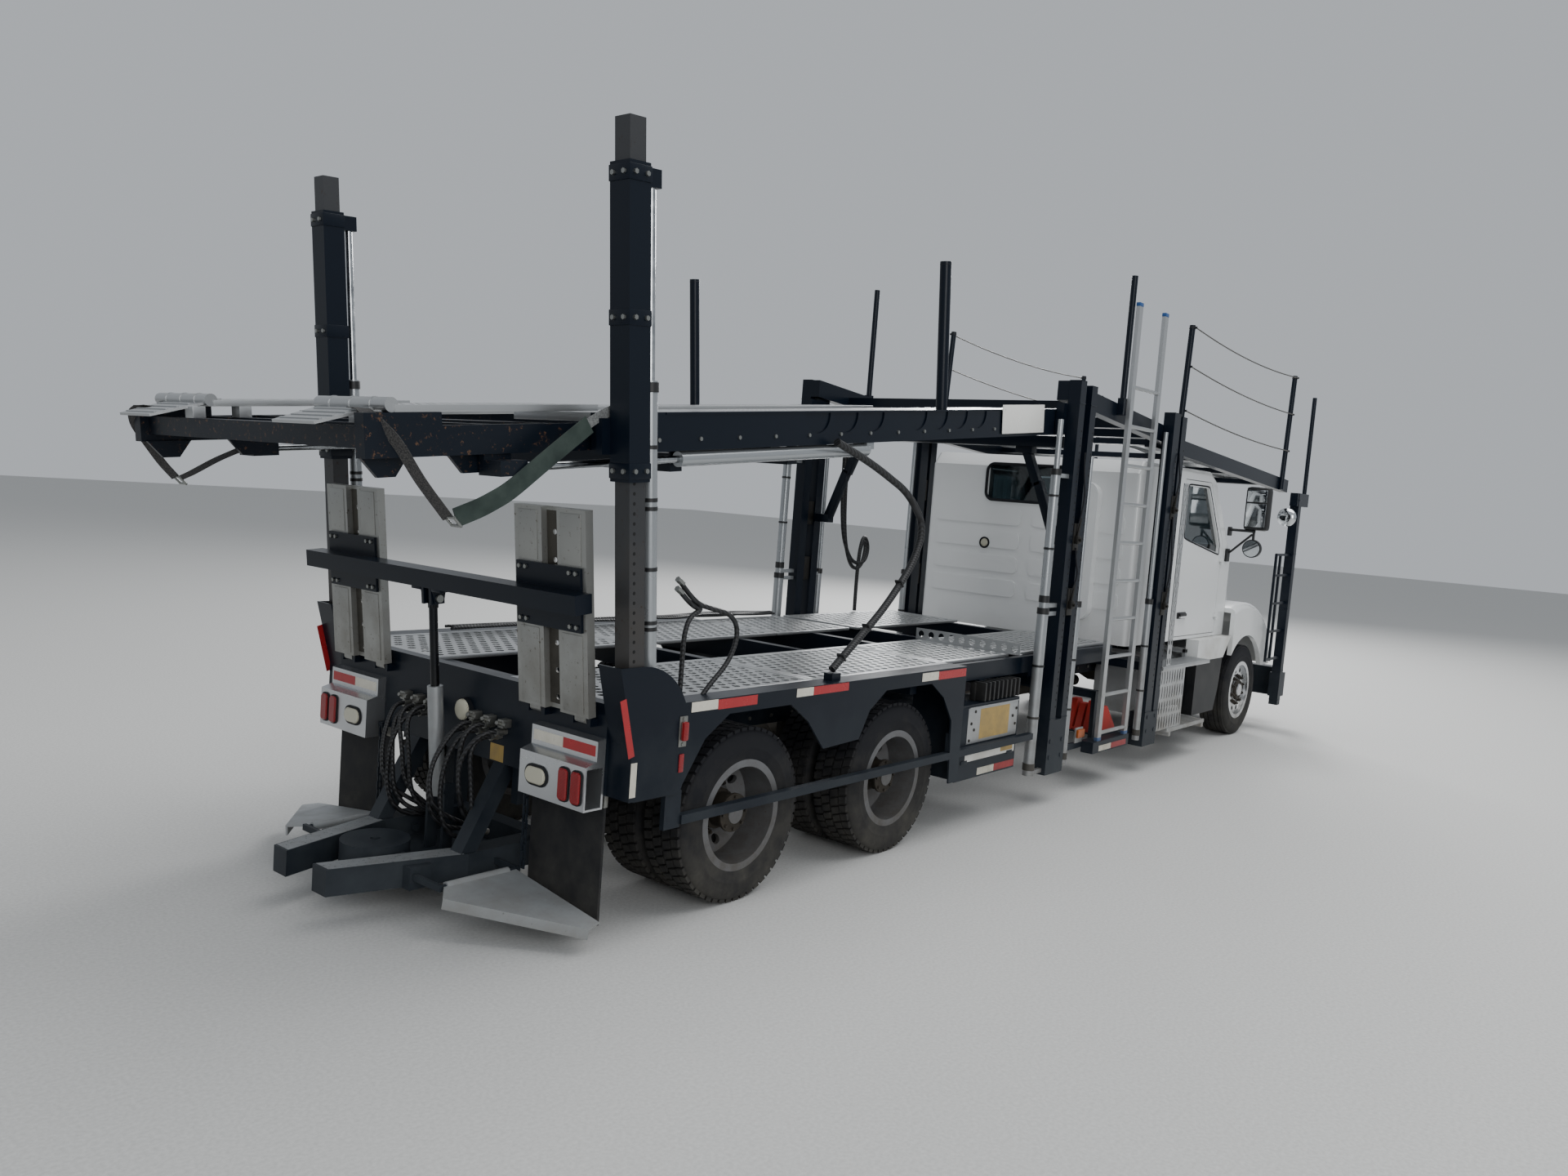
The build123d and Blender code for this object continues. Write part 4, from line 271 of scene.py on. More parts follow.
# Tyres: radial truck tyres. The carcass is a turned rubber shell with a rounded shoulder and a
# protector rib, and the tread blocks stand on it. Steer tyres have straight ribs, drive tyres lugs.
TYRE_RADIUS = 0.468
BLOCK_FOOT = 0.449
TURNS = 96
LUGS = 52
HALF_CARCASS = [
    # distance from the axle, half width
    (0.2755, 0.1145), (0.288, 0.1255), (0.305, 0.1330), (0.330, 0.1375), (0.352, 0.1405), (0.356, 0.1422),
    (0.362, 0.1422), (0.366, 0.1408), (0.395, 0.1402), (0.420, 0.1370), (0.436, 0.1310), (0.447, 0.1235),
    (0.4520, 0.1120),
]
CARCASS = HALF_CARCASS + [(radius, -width) for radius, width in reversed(HALF_CARCASS)]
AXLES = [("front_wheel", 0.0), ("drive_wheels_2", 6.506), ("drive_wheels_3", 7.909)]


def skin(bm, rings, caps=True):
    """Skins closed rings that have as many points each, and closes both ends if asked."""
    rings = [[bm.verts.new(point) for point in ring] for ring in rings]
    for here, there in zip(rings, rings[1:]):
        for index in range(len(here)):
            following = (index + 1) % len(here)
            bm.faces.new((here[index], here[following], there[following], there[index]))
    if caps:
        bm.faces.new(rings[0])
        bm.faces.new(rings[-1])


def turn_profile(bm, profile, y, side=1, steps=TURNS):
    """Turns a profile of (radius, y) points about the wheel's own axis."""
    angles = [math.tau * step / steps for step in range(steps)]
    skin(
        bm,
        [[(r * math.cos(angle), y + side * across, r * math.sin(angle)) for angle in angles] for r, across in profile],
        caps=False,
    )


def tread_block(bm, y0, y1, angle, width, skew=0.0):
    """One tread block between two places across and over an angle, standing on the carcass."""
    corners = ((y0, angle - skew), (y0, angle + width - skew), (y1, angle + width + skew), (y1, angle + skew))
    skin(bm, [[(r * math.cos(at), y, r * math.sin(at)) for y, at in corners] for r in (BLOCK_FOOT, TYRE_RADIUS)])


def steer_tyre(bm, y):
    """A tyre with five straight ribs, cut across finely at their edges."""
    turn_profile(bm, CARCASS, y)
    for low, high in ((-0.115, -0.078), (-0.070, -0.034), (-0.026, 0.026), (0.034, 0.070), (0.078, 0.115)):
        for step in range(TURNS):
            tread_block(bm, y + low, y + high, math.tau * step / TURNS, math.tau / TURNS * 0.96)


def drive_tyre(bm, y):
    """A tyre with deep shoulder lugs and two rows of centre blocks."""
    turn_profile(bm, CARCASS, y)
    pitch = math.tau / LUGS
    for step in range(LUGS):
        for side in BOTH:
            for low, high, start, width, skew in ((0.070, 0.119, 0, 0.74, 0.10), (0.008, 0.060, 0.4, 0.76, 0.16)):
                tread_block(
                    bm, y + side * low, y + side * high, pitch * (step + start), pitch * width, side * pitch * skew
                )


# Tyre rubber: carbon black and matt, dusted brown-grey in the grooves and on the side walls.
tyre_rubber = weathered(
    "tyre_rubber_moulded", "#14151a", "#484641", "#26262a", 130, 2.2, roughness=0.80, dust_top=1.15, wear=0.72,
    bump_mm=0.5, Specular_IOR_Level=0.3,
)
for side, label in SIDES:
    for body, axle in AXLES:
        bm = bmesh.new()
        if body == "front_wheel":
            steer_tyre(bm, side * 1.010)
            name, cad_tyre = f"steer_tyre_{label}", f"front_tyre_{label[0]}"
        else:
            drive_tyre(bm, side * 1.076)
            drive_tyre(bm, side * 0.756)
            name, cad_tyre = f"drive_tyres_{body[-1]}_{label}", f"drive_tyres_{body[-1]}{label[0]}"
        bmesh.ops.translate(bm, verts=bm.verts, vec=(behind(axle), 0, TYRE_RADIUS))
        tyre = finish_piece(name, bm, tyre_rubber, f"{body}_{label}", 40)
        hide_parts(cad_tyre)

# Wheels: the steer rims are forged aluminium, polished bright; the drive rims are pressed steel in
# dull grey paint with rust at the hand holes. Ten hub-piloted nuts hold each one.
polished_aluminium = weathered(
    "forged_aluminium_polished", "#c9cbcd", "#8f8b84", "#a9a9a8", 90, 1.2, metallic=1.0, roughness=0.24,
    dust_top=0.9, wear=0.72, bump_mm=0.1,
)
grey_wheel_paint = weathered(
    "pressed_steel_grey_paint", "#6a6b6d", "#504b44", "#54402e", 110, 1.5, metallic=0.35, roughness=0.48,
    dust_top=1.2, wear=0.60,
)
finish_nodes(polished_aluminium, "front_rim_l", "front_rim_r")
finish_nodes(grey_wheel_paint, "drive_rims_2l", "drive_rims_2r", "drive_rims_3l", "drive_rims_3r")
NUT_CIRCLE = 0.1425
STEER_HUB = [
    (0.108, 1.080), (0.106, 1.125), (0.098, 1.138), (0.094, 1.139), (0.062, 1.1395), (0.058, 1.146), (0.0, 1.147),
]
DRIVE_HUB = [
    (0.112, 0.940), (0.110, 1.040), (0.094, 1.050), (0.092, 1.132), (0.104, 1.134), (0.104, 1.150), (0.070, 1.153),
    (0.050, 1.164), (0.0, 1.1655),
]
HUBS = [
    # profile, face that the nuts press on, length of the nuts, cap bolts, their circle, their two ends
    ("steer_hub", STEER_HUB, 1.106, 0.028, 5, 0.080, (1.136, 1.146)),
    ("drive_hub_2", DRIVE_HUB, 0.960, 0.030, 8, 0.088, (1.148, 1.162)),
    ("drive_hub_3", DRIVE_HUB, 0.960, 0.030, 8, 0.088, (1.148, 1.162)),
]


def circle_of_rounds(bm, count, circle, shift, side, y, radius, end_radius=None, sides=6):
    """Adds nuts or bolts on a circle about the wheel's axis."""
    for turn in range(count):
        angle = math.tau * (turn + shift) / count
        x, z = circle * math.cos(angle), circle * math.sin(angle)
        put_round(bm, (x, side * y[0], z), (x, side * y[1], z), radius, end_radius, sides)


for side, label in SIDES:
    for (body, axle), (name, profile, face, length, bolts, circle, ends) in zip(AXLES, HUBS):
        bm = bmesh.new()
        circle_of_rounds(bm, 10, NUT_CIRCLE, 0.5, side, (face - 0.012, face + 0.006), 0.023, sides=16)
        circle_of_rounds(bm, 10, NUT_CIRCLE, 0.5, side, (face, face + length), 0.0175, 0.0165)
        circle_of_rounds(bm, 10, NUT_CIRCLE, 0.5, side, (face, face + length + 0.012), 0.0085, sides=10)
        turn_profile(bm, profile, 0.0, side, 40)
        circle_of_rounds(bm, bolts, circle, 0, side, ends, 0.009)
        bmesh.ops.translate(bm, verts=bm.verts, vec=(behind(axle), 0, TYRE_RADIUS))
        finish_piece(f"{name}_{label}", bm, greasy_iron, f"{body}_{label}")

# Cab: welded steel panels and a moulded hood in white two-pack paint. The clear gloss is dulled by
# a film of road dust, and the back wall has long pressed ribs.
white_paint = weathered(
    "white_two_pack_cab_paint", "#e2e4e4", "#a9a69e", "#bdbcb6", 900, 1.2, roughness=0.27, dust_top=1.75,
    wear=0.77, bump_mm=0.05, Coat_Weight=0.5, Coat_Roughness=0.14,
)
finish_nodes(white_paint, "cab_shell", "door_l", "door_r", "hood")

# Windows: laminated tinted glass, a little smeared, in black moulded rubber gaskets. A rubber ring
# also seals the vent in the cab's back wall.
tinted_glass = toned(
    "laminated_tinted_glass", [(0.3, "#5f6d70"), (0.75, "#76858a")], noise=(6.0, 5.0), gloss=(0.45, 1.0, 0.02, 0.2),
    roughness=0.03, Transmission_Weight=1.0, IOR=1.52,
)
finish_nodes(tinted_glass, "cab_glass", "door_glass_l", "door_glass_r")
black_rubber = weathered(
    "black_rubber_moulded", "#111319", "#3e3d3a", "#242426", 140, 1.5, roughness=0.72, dust_top=1.4, wear=0.74,
    Specular_IOR_Level=0.3,
)


def rounded_loop(x, y, z, half_y, half_z, corner, shrink=0.0, steps=6):
    """Points round an upright oblong with rounded corners, in the plane at x."""
    points = []
    for sign_y, sign_z, start in ((1, 1, 0), (-1, 1, 90), (-1, -1, 180), (1, -1, 270)):
        for step in range(steps + 1):
            angle = math.radians(start + 90 * step / steps)
            out_y = sign_y * (half_y - corner) + (corner - shrink) * math.cos(angle)
            points.append((x, y + out_y, z + sign_z * (half_z - corner) + (corner - shrink) * math.sin(angle)))
    return points


def lay_tubes(name, runs, radius, material, body="body", closed=False):
    """Tubes, ropes or seals of one thickness along smooth runs of points."""
    curve = bpy.data.curves.new(name, "CURVE")
    curve.dimensions = "3D"
    curve.bevel_depth = radius
    curve.bevel_resolution = 3
    curve.resolution_u = 8
    curve.use_fill_caps = not closed
    for run in runs:
        spline = curve.splines.new("NURBS")
        spline.points.add(len(run) - 1)
        for point, place_on_run in zip(spline.points, run):
            point.co = (*place_on_run, 1.0)
        spline.use_cyclic_u = closed
        spline.order_u = 3
        spline.use_endpoint_u = not closed
    curve.materials.append(material)
    piece = new_object(name, curve)
    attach(piece, body)
    return piece


gasket = rounded_loop(behind(2.804), 0.0, 2.405, 0.445, 0.167, 0.075)
lay_tubes("rear_window_gasket", [gasket], 0.014, black_rubber, closed=True)
vent_seal = rounded_loop(behind(2.812), 0.41, 1.836, 0.046, 0.046, 0.0455)
lay_tubes("cab_wall_vent_seal", [vent_seal], 0.008, black_rubber, closed=True)

# Seats and dashboard: woven cloth over foam on a steel pan, bolted to the cab's floor. They are
# seen only through the glass.
seat_cloth = weathered(
    "woven_seat_cloth", "#2a2b2f", "#3a3a3c", "#45464a", 60, 1.0, roughness=0.9, wear=0.62, Sheen_Weight=0.3,
)
finish_nodes(seat_cloth, "cab_interior")

# Lamps on the cab's back wall and the deck's rear beam: round work lamps with ribbed clear lenses,
# moulded in polycarbonate and set in a rim. The head lamps have the same lens.
clear_lens = toned(
    "ribbed_clear_lens_polycarbonate", [(0.2, "#bdb9a2"), (0.8, "#e0ddca")], wave=(55.0, "Y", 0.5, 0.001),
    roughness=0.12, Transmission_Weight=0.25, IOR=1.58,
)
finish_nodes(clear_lens, "head_lamps")
LENS_SIDES = 32


def dome_lens(bm, x, y, z, radius, depth):
    """A shallow round lens that bulges to the rear."""
    angles = [math.tau * step / LENS_SIDES for step in range(LENS_SIDES)]
    skin(
        bm,
        [
            [(x - depth * rise, y + radius * share * math.cos(a), z + radius * share * math.sin(a)) for a in angles]
            for share, rise in ((1.0, 0.0), (0.97, 0.35), (0.8, 0.75), (0.5, 0.95), (0.0, 1.0))
        ],
        caps=False,
    )
    bmesh.ops.remove_doubles(bm, verts=bm.verts, dist=1e-6)


bm = bmesh.new()
dome_lens(bm, behind(2.806), 0.41, 1.836, 0.040, 0.014)
dome_lens(bm, behind(8.8795), -0.075, 0.925, 0.055, 0.016)
finish_piece("round_lamp_lenses", bm, clear_lens)

# Handles, window seals and side grilles: black moulded pulls in a pressed recess, rubber seals
# round the door windows, and slats in the hood's sides.
black_plastic = weathered(
    "black_moulded_abs", "#161719", "#57534b", "#2e2f31", 260, 1.4, roughness=0.55, dust_top=1.5, wear=0.74,
)
WINDOW_CORNERS = [(1.725, 2.015), (1.725, 2.515), (1.18, 2.515), (0.765, 1.97), (0.765, 1.865)]


def put_box(bm, x, y, z, bevel=0.0, matrix=None):
    """Adds a block between three pairs of limits, with its edges eased if asked."""
    size = Matrix.Diagonal((abs(x[1] - x[0]), abs(y[1] - y[0]), abs(z[1] - z[0]), 1))
    middle = Matrix.Translation(((x[0] + x[1]) / 2, (y[0] + y[1]) / 2, (z[0] + z[1]) / 2))
    made = bmesh.ops.create_cube(bm, size=1.0, matrix=(matrix or Matrix()) @ middle @ size)
    if bevel:
        edges = list({edge for vert in made["verts"] for edge in vert.link_edges})
        bmesh.ops.bevel(bm, geom=edges, offset=bevel, segments=2, affect="EDGES", profile=0.6)


def put_blocks(bm, sides, *blocks):
    """Adds blocks: their limits behind the front axle, out from the middle and up, and their bevel."""
    for side in sides:
        for x0, x1, y0, y1, z0, z1, bevel in blocks:
            put_box(bm, (behind(x0), behind(x1)), (side * y0, side * y1), (z0, z1), bevel)


for side, label in SIDES:
    bm = bmesh.new()
    put_blocks(
        bm, (side,), (1.70, 1.50, 1.0505, 1.062, 1.262, 1.322, 0.006), (1.68, 1.52, 1.066, 1.080, 1.285, 1.312, 0.006)
    )
    finish_piece(f"door_pull_{label}", bm, black_plastic, f"door_{label}")
    outline = [Vector((behind(x), side * 1.043, z)) for x, z in WINDOW_CORNERS]
    dense = []
    for start, end in zip(outline, outline[1:] + outline[:1]):
        dense += [tuple(start.lerp(end, share)) for share in (0.04, 0.35, 0.65, 0.96)]
    lay_tubes(f"door_window_seal_{label}", [dense], 0.011, black_rubber, f"door_{label}", closed=True)
    bm = bmesh.new()
    for step in range(4):
        inward, up = 0.02 * step, 0.055 * step
        put_blocks(bm, (side,), (0.60, 0.36, 0.925 - inward, 0.955 - inward, 1.575 + up, 1.600 + up, 0.004))
    finish_piece(f"hood_side_grille_{label}", bm, black_plastic, "hood")

# Skirts: moulded plastic panels bolted below the cab. The lower part is black, the fairing above
# it is white like the cab.
SKIRT_SPLIT = 0.8502
skirt_finish, tree, shader, place = start_finish(
    "moulded_skirt_black_below_white", 0.0, 0.45, Specular_IOR_Level=0.25
)
level = add_node(tree, "ShaderNodeSeparateXYZ", {"Vector": place}).outputs["Z"]
split = add_node(tree, "ShaderNodeMath", {0: level}, {1: SKIRT_SPLIT}, operation="GREATER_THAN").outputs[0]
grime = noise_at(tree, place, 3.5, 7.0)
black_tone, white_tone = (
    add_node(tree, "ShaderNodeValToRGB", {"Fac": grime}, stops=stops).outputs["Color"]
    for stops in ([(0.35, "#0f1216"), (0.8, "#2f2f2e")], [(0.35, "#dcdedd"), (0.85, "#b0ada5")])
)
two_tone = add_node(
    tree, "ShaderNodeMix", {"Factor": split, 6: black_tone, 7: white_tone}, data_type="RGBA"
).outputs[2]
tree.links.new(two_tone, shader.inputs["Base Color"])
finish_nodes(skirt_finish, "side_skirts")

# Mirrors: black moulded shells on painted arms, with silvered glass facing the driver. The round
# spot mirror on the right nose post is bare silvered glass in a chrome shell.
mirror_silver = toned(
    "silvered_mirror_glass", [(0.3, "#c2c6c9"), (0.8, "#dfe2e4")], noise=(9.0, 6.0), metallic=1.0, roughness=0.04,
)
MIRROR_BARS = [
    # from and to (behind the front axle, out, up), radius, sides
    ((0.522, 1.280, 1.950), (0.478, 1.280, 1.950), 0.090, 32),
    ((0.500, 1.282, 2.020), (0.500, 1.282, 2.140), 0.013, 16),
    ((0.540, 1.062, 1.880), (0.505, 1.270, 2.090), 0.011, 16),
    ((0.550, 1.062, 2.122), (0.510, 1.300, 2.122), 0.014, 16),
]


def route(*points, side=1):
    """Points given behind the front axle, out from the middle and up."""
    return [(behind(x), side * y, z) for x, y, z in points]


for side, label in SIDES:
    bm = bmesh.new()
    put_blocks(
        bm, (side,), (0.560, 0.440, 1.180, 1.420, 2.130, 2.560, 0.042),
        (0.590, 0.500, 1.050, 1.072, 1.800, 1.930, 0.008), (0.590, 0.500, 1.050, 1.072, 2.060, 2.150, 0.008),
    )
    for start, end, radius, sides in MIRROR_BARS:
        put_round(bm, *route(start, end, side=side), radius, sides=sides)
    shell = finish_piece(f"mirror_shell_{label}", bm, black_plastic)
    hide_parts("mirrors")
    bm = bmesh.new()
    put_blocks(
        bm, (side,), (0.566, 0.560, 1.205, 1.395, 2.165, 2.395, 0.002),
        (0.566, 0.560, 1.205, 1.395, 2.410, 2.530, 0.002),
    )
    put_round(bm, *route((0.528, 1.280, 1.950), (0.522, 1.280, 1.950), side=side), 0.080, sides=32)
    finish_piece(f"mirror_glass_{label}", bm, mirror_silver)
bm = bmesh.new()
dome_lens(bm, behind(-0.56), -1.262, 2.292, 0.098, 0.045)
put_round(bm, *route((-0.56, -1.262, 2.292), (-0.60, -1.262, 2.292)), 0.098, 0.05, 32)
put_round(bm, *route((-0.60, -1.262, 2.292), (-0.86, -1.250, 2.350)), 0.011)
finish_piece("spot_mirror", bm, mirror_silver)

# Nose frame: bumper beam, nose posts and the thin rod ladders, welded from square tube and sprayed
# navy. Narrow straps are welded round each post.
finish_nodes(navy_enamel, "nose_frame")
bm = bmesh.new()
for z in (0.30, 0.62, 1.30, 1.90, 2.48):
    put_blocks(bm, BOTH, (-0.852, -0.948, 1.193, 1.2875, z, z + 0.012, 0.002))
finish_piece("nose_post_straps", bm, navy_enamel)

# Fuel tanks: bright rolled aluminium, brushed along its length. Zinc-plated steel straps hold them
# on their brackets.
brushed_aluminium = weathered(
    "rolled_aluminium_brushed", "#bfc1c3", "#8b867d", "#a3a4a4", 240, 1.4, metallic=0.9, roughness=0.36,
    dust_top=1.0, wear=0.74, bump_mm=0.12,
)
finish_nodes(brushed_aluminium, "fuel_tanks")
bm = bmesh.new()
for x in (1.92, 1.50, 1.02):
    for limits in ((0.60, 0.88, 0.917, 0.923), (0.60, 0.88, 0.357, 0.363), (1.017, 1.023, 0.50, 0.78)):
        put_blocks(bm, BOTH, (x + 0.03, x - 0.03, *limits, 0.001))
finish_piece("tank_straps", bm, zinc_plate)

# Cab steps and guard panels: extruded aluminium treads with raised ribs, and thin sheets punched
# with upright slots, bolted to square-tube carriers.
mill_aluminium = weathered(
    "mill_finish_aluminium_scuffed", "#b3b5b6", "#8d877c", "#d0d1d2", 170, 1.6, metallic=0.82, roughness=0.42,
    dust_top=1.3, wear=0.66, bump_mm=0.3,
)
CELL_OUTLINE = [
    (1, 0), (1, 0.5), (1, 1), (0.5, 1), (0, 1), (-0.5, 1), (-1, 1), (-1, 0.5),
    (-1, 0), (-1, -0.5), (-1, -1), (-0.5, -1), (0, -1), (0.5, -1), (1, -1), (1, -0.5),
]
HOLE_ANGLES = [math.radians(22.5 * corner) for corner in range(16)]
SIDEWAYS = Matrix(((1, 0, 0, 0), (0, 0, 1, 0), (0, 1, 0, 0), (0, 0, 0, 1)))
STEP_INNER = 1.060


def perforated_plate(bm, x, y, z, pitch, hole, matrix=None):
    """A plate punched with staggered round holes; half pitches at its ends stay solid."""
    matrix = matrix or Matrix()
    (x0, x1), (y0, y1) = sorted(x), sorted(y)
    columns = max(1, round((x1 - x0) / pitch[0]))
    rows = max(1, round((y1 - y0) / pitch[1]))
    step_x, step_y = (x1 - x0) / columns, (y1 - y0) / rows

    def patch(points, flip):
        corners = [bm.verts.new(matrix @ Vector(point)) for point in points]
        bm.faces.new(corners[::-1] if flip else corners)

    for row in range(rows):
        middle_y = y0 + (row + 0.5) * step_y
        shifted = row % 2
        for column in range(columns - shifted):
            middle_x = x0 + (column + 0.5 + shifted / 2) * step_x
            cell = [(middle_x + across * step_x / 2, middle_y + along * step_y / 2) for across, along in CELL_OUTLINE]
            bore = [(middle_x + hole[0] * math.cos(a), middle_y + hole[1] * math.sin(a)) for a in HOLE_ANGLES]
            rings = ((cell, z[0]), (bore, z[0]), (bore, z[1]), (cell, z[1]))
            skin(bm, [[matrix @ Vector((*point, level)) for point in ring] for ring, level in rings], caps=False)
        if shifted:
            low, high = y0 + row * step_y, y0 + (row + 1) * step_y
            for start, end in ((x0, x0 + step_x / 2), (x1 - step_x / 2, x1)):
                for level, flip in ((z[0], True), (z[1], False)):
                    patch([(start, low, level), (end, low, level), (end, high, level), (start, high, level)], flip)
    for at, flip in ((x0, False), (x1, True)):
        patch([(at, y1, z[0]), (at, y0, z[0]), (at, y0, z[1]), (at, y1, z[1])], flip)
    for at, flip in ((y0, False), (y1, True)):
        patch([(x0, at, z[0]), (x1, at, z[0]), (x1, at, z[1]), (x0, at, z[1])], flip)
    bmesh.ops.remove_doubles(bm, verts=bm.verts, dist=1e-5)


for side, label in SIDES:
    bm = bmesh.new()
    for x0, x1, z in ((2.250, 1.340, 0.290), (2.480, 1.350, 0.860)):
        put_blocks(bm, (side,), (x0, x1, STEP_INNER, 1.280, z, z + 0.029, 0.003))
        for rib in range(9):
            y = STEP_INNER + 0.012 + rib * (1.268 - STEP_INNER) / 8.6
            put_blocks(bm, (side,), (x0, x1, y, y + 0.011, z + 0.028, z + 0.035, 0))
    for start, end, height, pitch, slot in (
        (2.520, 1.930, (0.325, 0.860), (0.060, 0.150), (0.014, 0.058)),
        (2.400, 2.300, (0.895, 2.500), (0.050, 0.085), (0.014, 0.030)),
    ):
        perforated_plate(
            bm, (behind(start), behind(end)), height, (side * 1.262, side * 1.268), pitch, slot, SIDEWAYS
        )
    for x in (2.200, 1.400):
        put_blocks(
            bm, (side,), (x, x - 0.04, 1.020, 1.280, 0.250, 0.290, 0.003),
            (x, x - 0.04, 1.025, 1.060, 0.250, 0.960, 0.003), (x, x - 0.04, 0.4303, 1.060, 0.925, 0.960, 0.003),
        )
    steps = finish_piece(f"cab_steps_{label}", bm, mill_aluminium)
    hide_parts("cab_steps")

# Deck side sills, rear beam and guards: folded steel plate, welded up and sprayed navy, scuffed
# where cars and straps rub.
finish_nodes(navy_enamel, "side_sills", "deck_frame")

# Lower deck floors: aluminium plate punched with staggered grip holes, riveted to folded edges.
# Each panel is bolted down on the sills and crossbeams.
FLOOR_PANELS = [
    # from, to, inner edge, outer edge
    (8.780, 7.300, 0.330, 1.145),
    (7.295, 5.860, 0.330, 1.145),
    (5.845, 4.950, 0.330, 1.095),
    (4.850, 3.300, 0.330, 1.095),
]
DECK_TOP = 1.134
FLOOR_RIM = 0.040


def rim(low, high, width):
    """The four limits of a panel: its outside, the inside of its rims, and its other outside."""
    return low, low + width, high - width, high


def grip_track(bm, side, x, y, rim_z, sheet_z, pitch, hole, matrix=None):
    """A punched sheet inside a folded rim, both between the four limits along and across."""
    perforated_plate(bm, x[1:3], (side * y[1], side * y[2]), sheet_z, pitch, (hole, hole), matrix)
    for along, across in (((x[0], x[3]), y[:2]), ((x[0], x[3]), y[2:]), (x[:2], y[1:3]), (x[2:], y[1:3])):
        put_box(bm, along, (side * across[0], side * across[1]), rim_z, 0.002, matrix)


for number, (start, end, inner, outer) in enumerate(FLOOR_PANELS, 1):
    for side, label in SIDES:
        bm = bmesh.new()
        grip_track(
            bm, side, rim(behind(start), behind(end), FLOOR_RIM), rim(inner, outer, FLOOR_RIM),
            (DECK_TOP - 0.020, DECK_TOP), (DECK_TOP - 0.008, DECK_TOP - 0.002), (0.080, 0.069), 0.0240,
        )
        panel = finish_piece(f"deck_floor_{number}_{label}", bm, mill_aluminium)
        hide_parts("deck_floor")

# Front edge of the lower deck: a bent aluminium angle, riveted to the floor, with a row of round
# lightening holes in its upright leg.
CROSSWAYS = Matrix(((0, 0, 1, 0), (1, 0, 0, 0), (0, 1, 0, 0), (0, 0, 0, 1)))
bm = bmesh.new()
put_blocks(bm, (-1,), (4.95, 4.91, 1.185, 0.30, DECK_TOP + 0.001, DECK_TOP + 0.006, 0.001))
perforated_plate(
    bm, (-1.185, -0.30), (DECK_TOP + 0.001, DECK_TOP + 0.085), (behind(4.955), behind(4.949)),
    (0.0885, 0.084), (0.026, 0.026), CROSSWAYS,
)
finish_piece("deck_step_angle", bm, mill_aluminium)

# Reflective tape: red and white prismatic film, stuck to the sills, guards, tool box and foot box.
# A leaning strip runs down the tail of each sill.
red_tape = weathered(
    "reflective_film_red", "#a32025", "#6f2f2c", "#7d1b1f", 90, 1.2, roughness=0.32, dust_top=1.6, wear=0.73,
)
white_tape = weathered(
    "reflective_film_white", "#cfcbbd", "#96907f", "#b7b2a2", 90, 1.2, roughness=0.32, dust_top=1.6, wear=0.73,
)
FILM = 0.0012
WHITE_TAPES = [
    # from, to, low, high, distance from the middle
    (8.434, 8.245, 1.082, 1.131, 1.2855),
    (7.620, 7.475, 1.084, 1.130, 1.2855),
    (6.381, 6.194, 1.072, 1.124, 1.2855),
    (5.504, 5.278, 0.352, 0.400, 1.2305),
    (3.682, 3.453, 0.300, 0.345, 1.2855),
    (8.830, 8.792, 0.722, 0.885, 1.3025),
]
RED_TAPES = [
    (8.243, 7.945, 1.078, 1.128, 1.2855),
    (7.473, 7.150, 1.084, 1.130, 1.2855),
    (6.192, 5.860, 1.070, 1.122, 1.2855),
    (5.276, 4.992, 0.352, 0.400, 1.2305),
    (3.451, 3.161, 0.300, 0.345, 1.2855),
]


def put_pair(bm, x, y, z, bevel=0.0, matrix=None):
    """Adds the same block on the left and on the right."""
    for side in BOTH:
        put_box(bm, x, (side * y[0], side * y[1]), z, bevel, matrix)


for colour, film, tapes in (("red", red_tape, RED_TAPES), ("white", white_tape, WHITE_TAPES)):
    bm = bmesh.new()
    for start, end, low, high, across in tapes:
        put_blocks(bm, BOTH, (start, end, across, across + FILM, low, high, 0))
    if colour == "red":
        lean = Matrix.Translation((behind(8.868), 0, 1.050)) @ Matrix.Rotation(math.radians(-15.2), 4, "Y")
        put_pair(bm, (-0.019, 0.019), (1.3025, 1.3037), (-0.142, 0.142), 0, lean)
    finish_piece(f"reflective_tape_{colour}", bm, film)

# Rear posts: bare square tube with a column of locking-pin holes. They stand behind the rear sill
# and lean to the rear; the steel has gone dull brown-grey where the sleeves slide.
bare_post_steel = weathered(
    "bare_mild_steel_weathered", "#424345", "#574f45", "#3a2a20", 320, 2.2, metallic=0.6, roughness=0.46,
    dust_top=3.0, wear=0.60, bump_mm=0.4,
)
finish_nodes(bare_post_steel, "rear_posts")


def tilted(x, z, degrees):
    """The frame of a part that slopes or leans, with its origin at x and z on the middle plane."""
    return Matrix.Translation((x, 0, z)) @ Matrix.Rotation(-math.radians(degrees), 4, "Y")


POST_PLANE = tilted(behind(8.800), 1.1383, 4.9)
REAR_POST_Y = 1.236
dark_bore = weathered("unlit_steel_bore", "#050505", "#0a0908", "#12100d", 80, 1.0, roughness=0.9)
bm = bmesh.new()
put_studs(
    bm, [(-0.018, 0.13 + 0.045 * hole) for hole in range(22)], (REAR_POST_Y + 0.0474, REAR_POST_Y + 0.0477), 0.0085,
    sides=20, matrix=POST_PLANE,
)
finish_piece("post_pin_holes", bm, dark_bore)

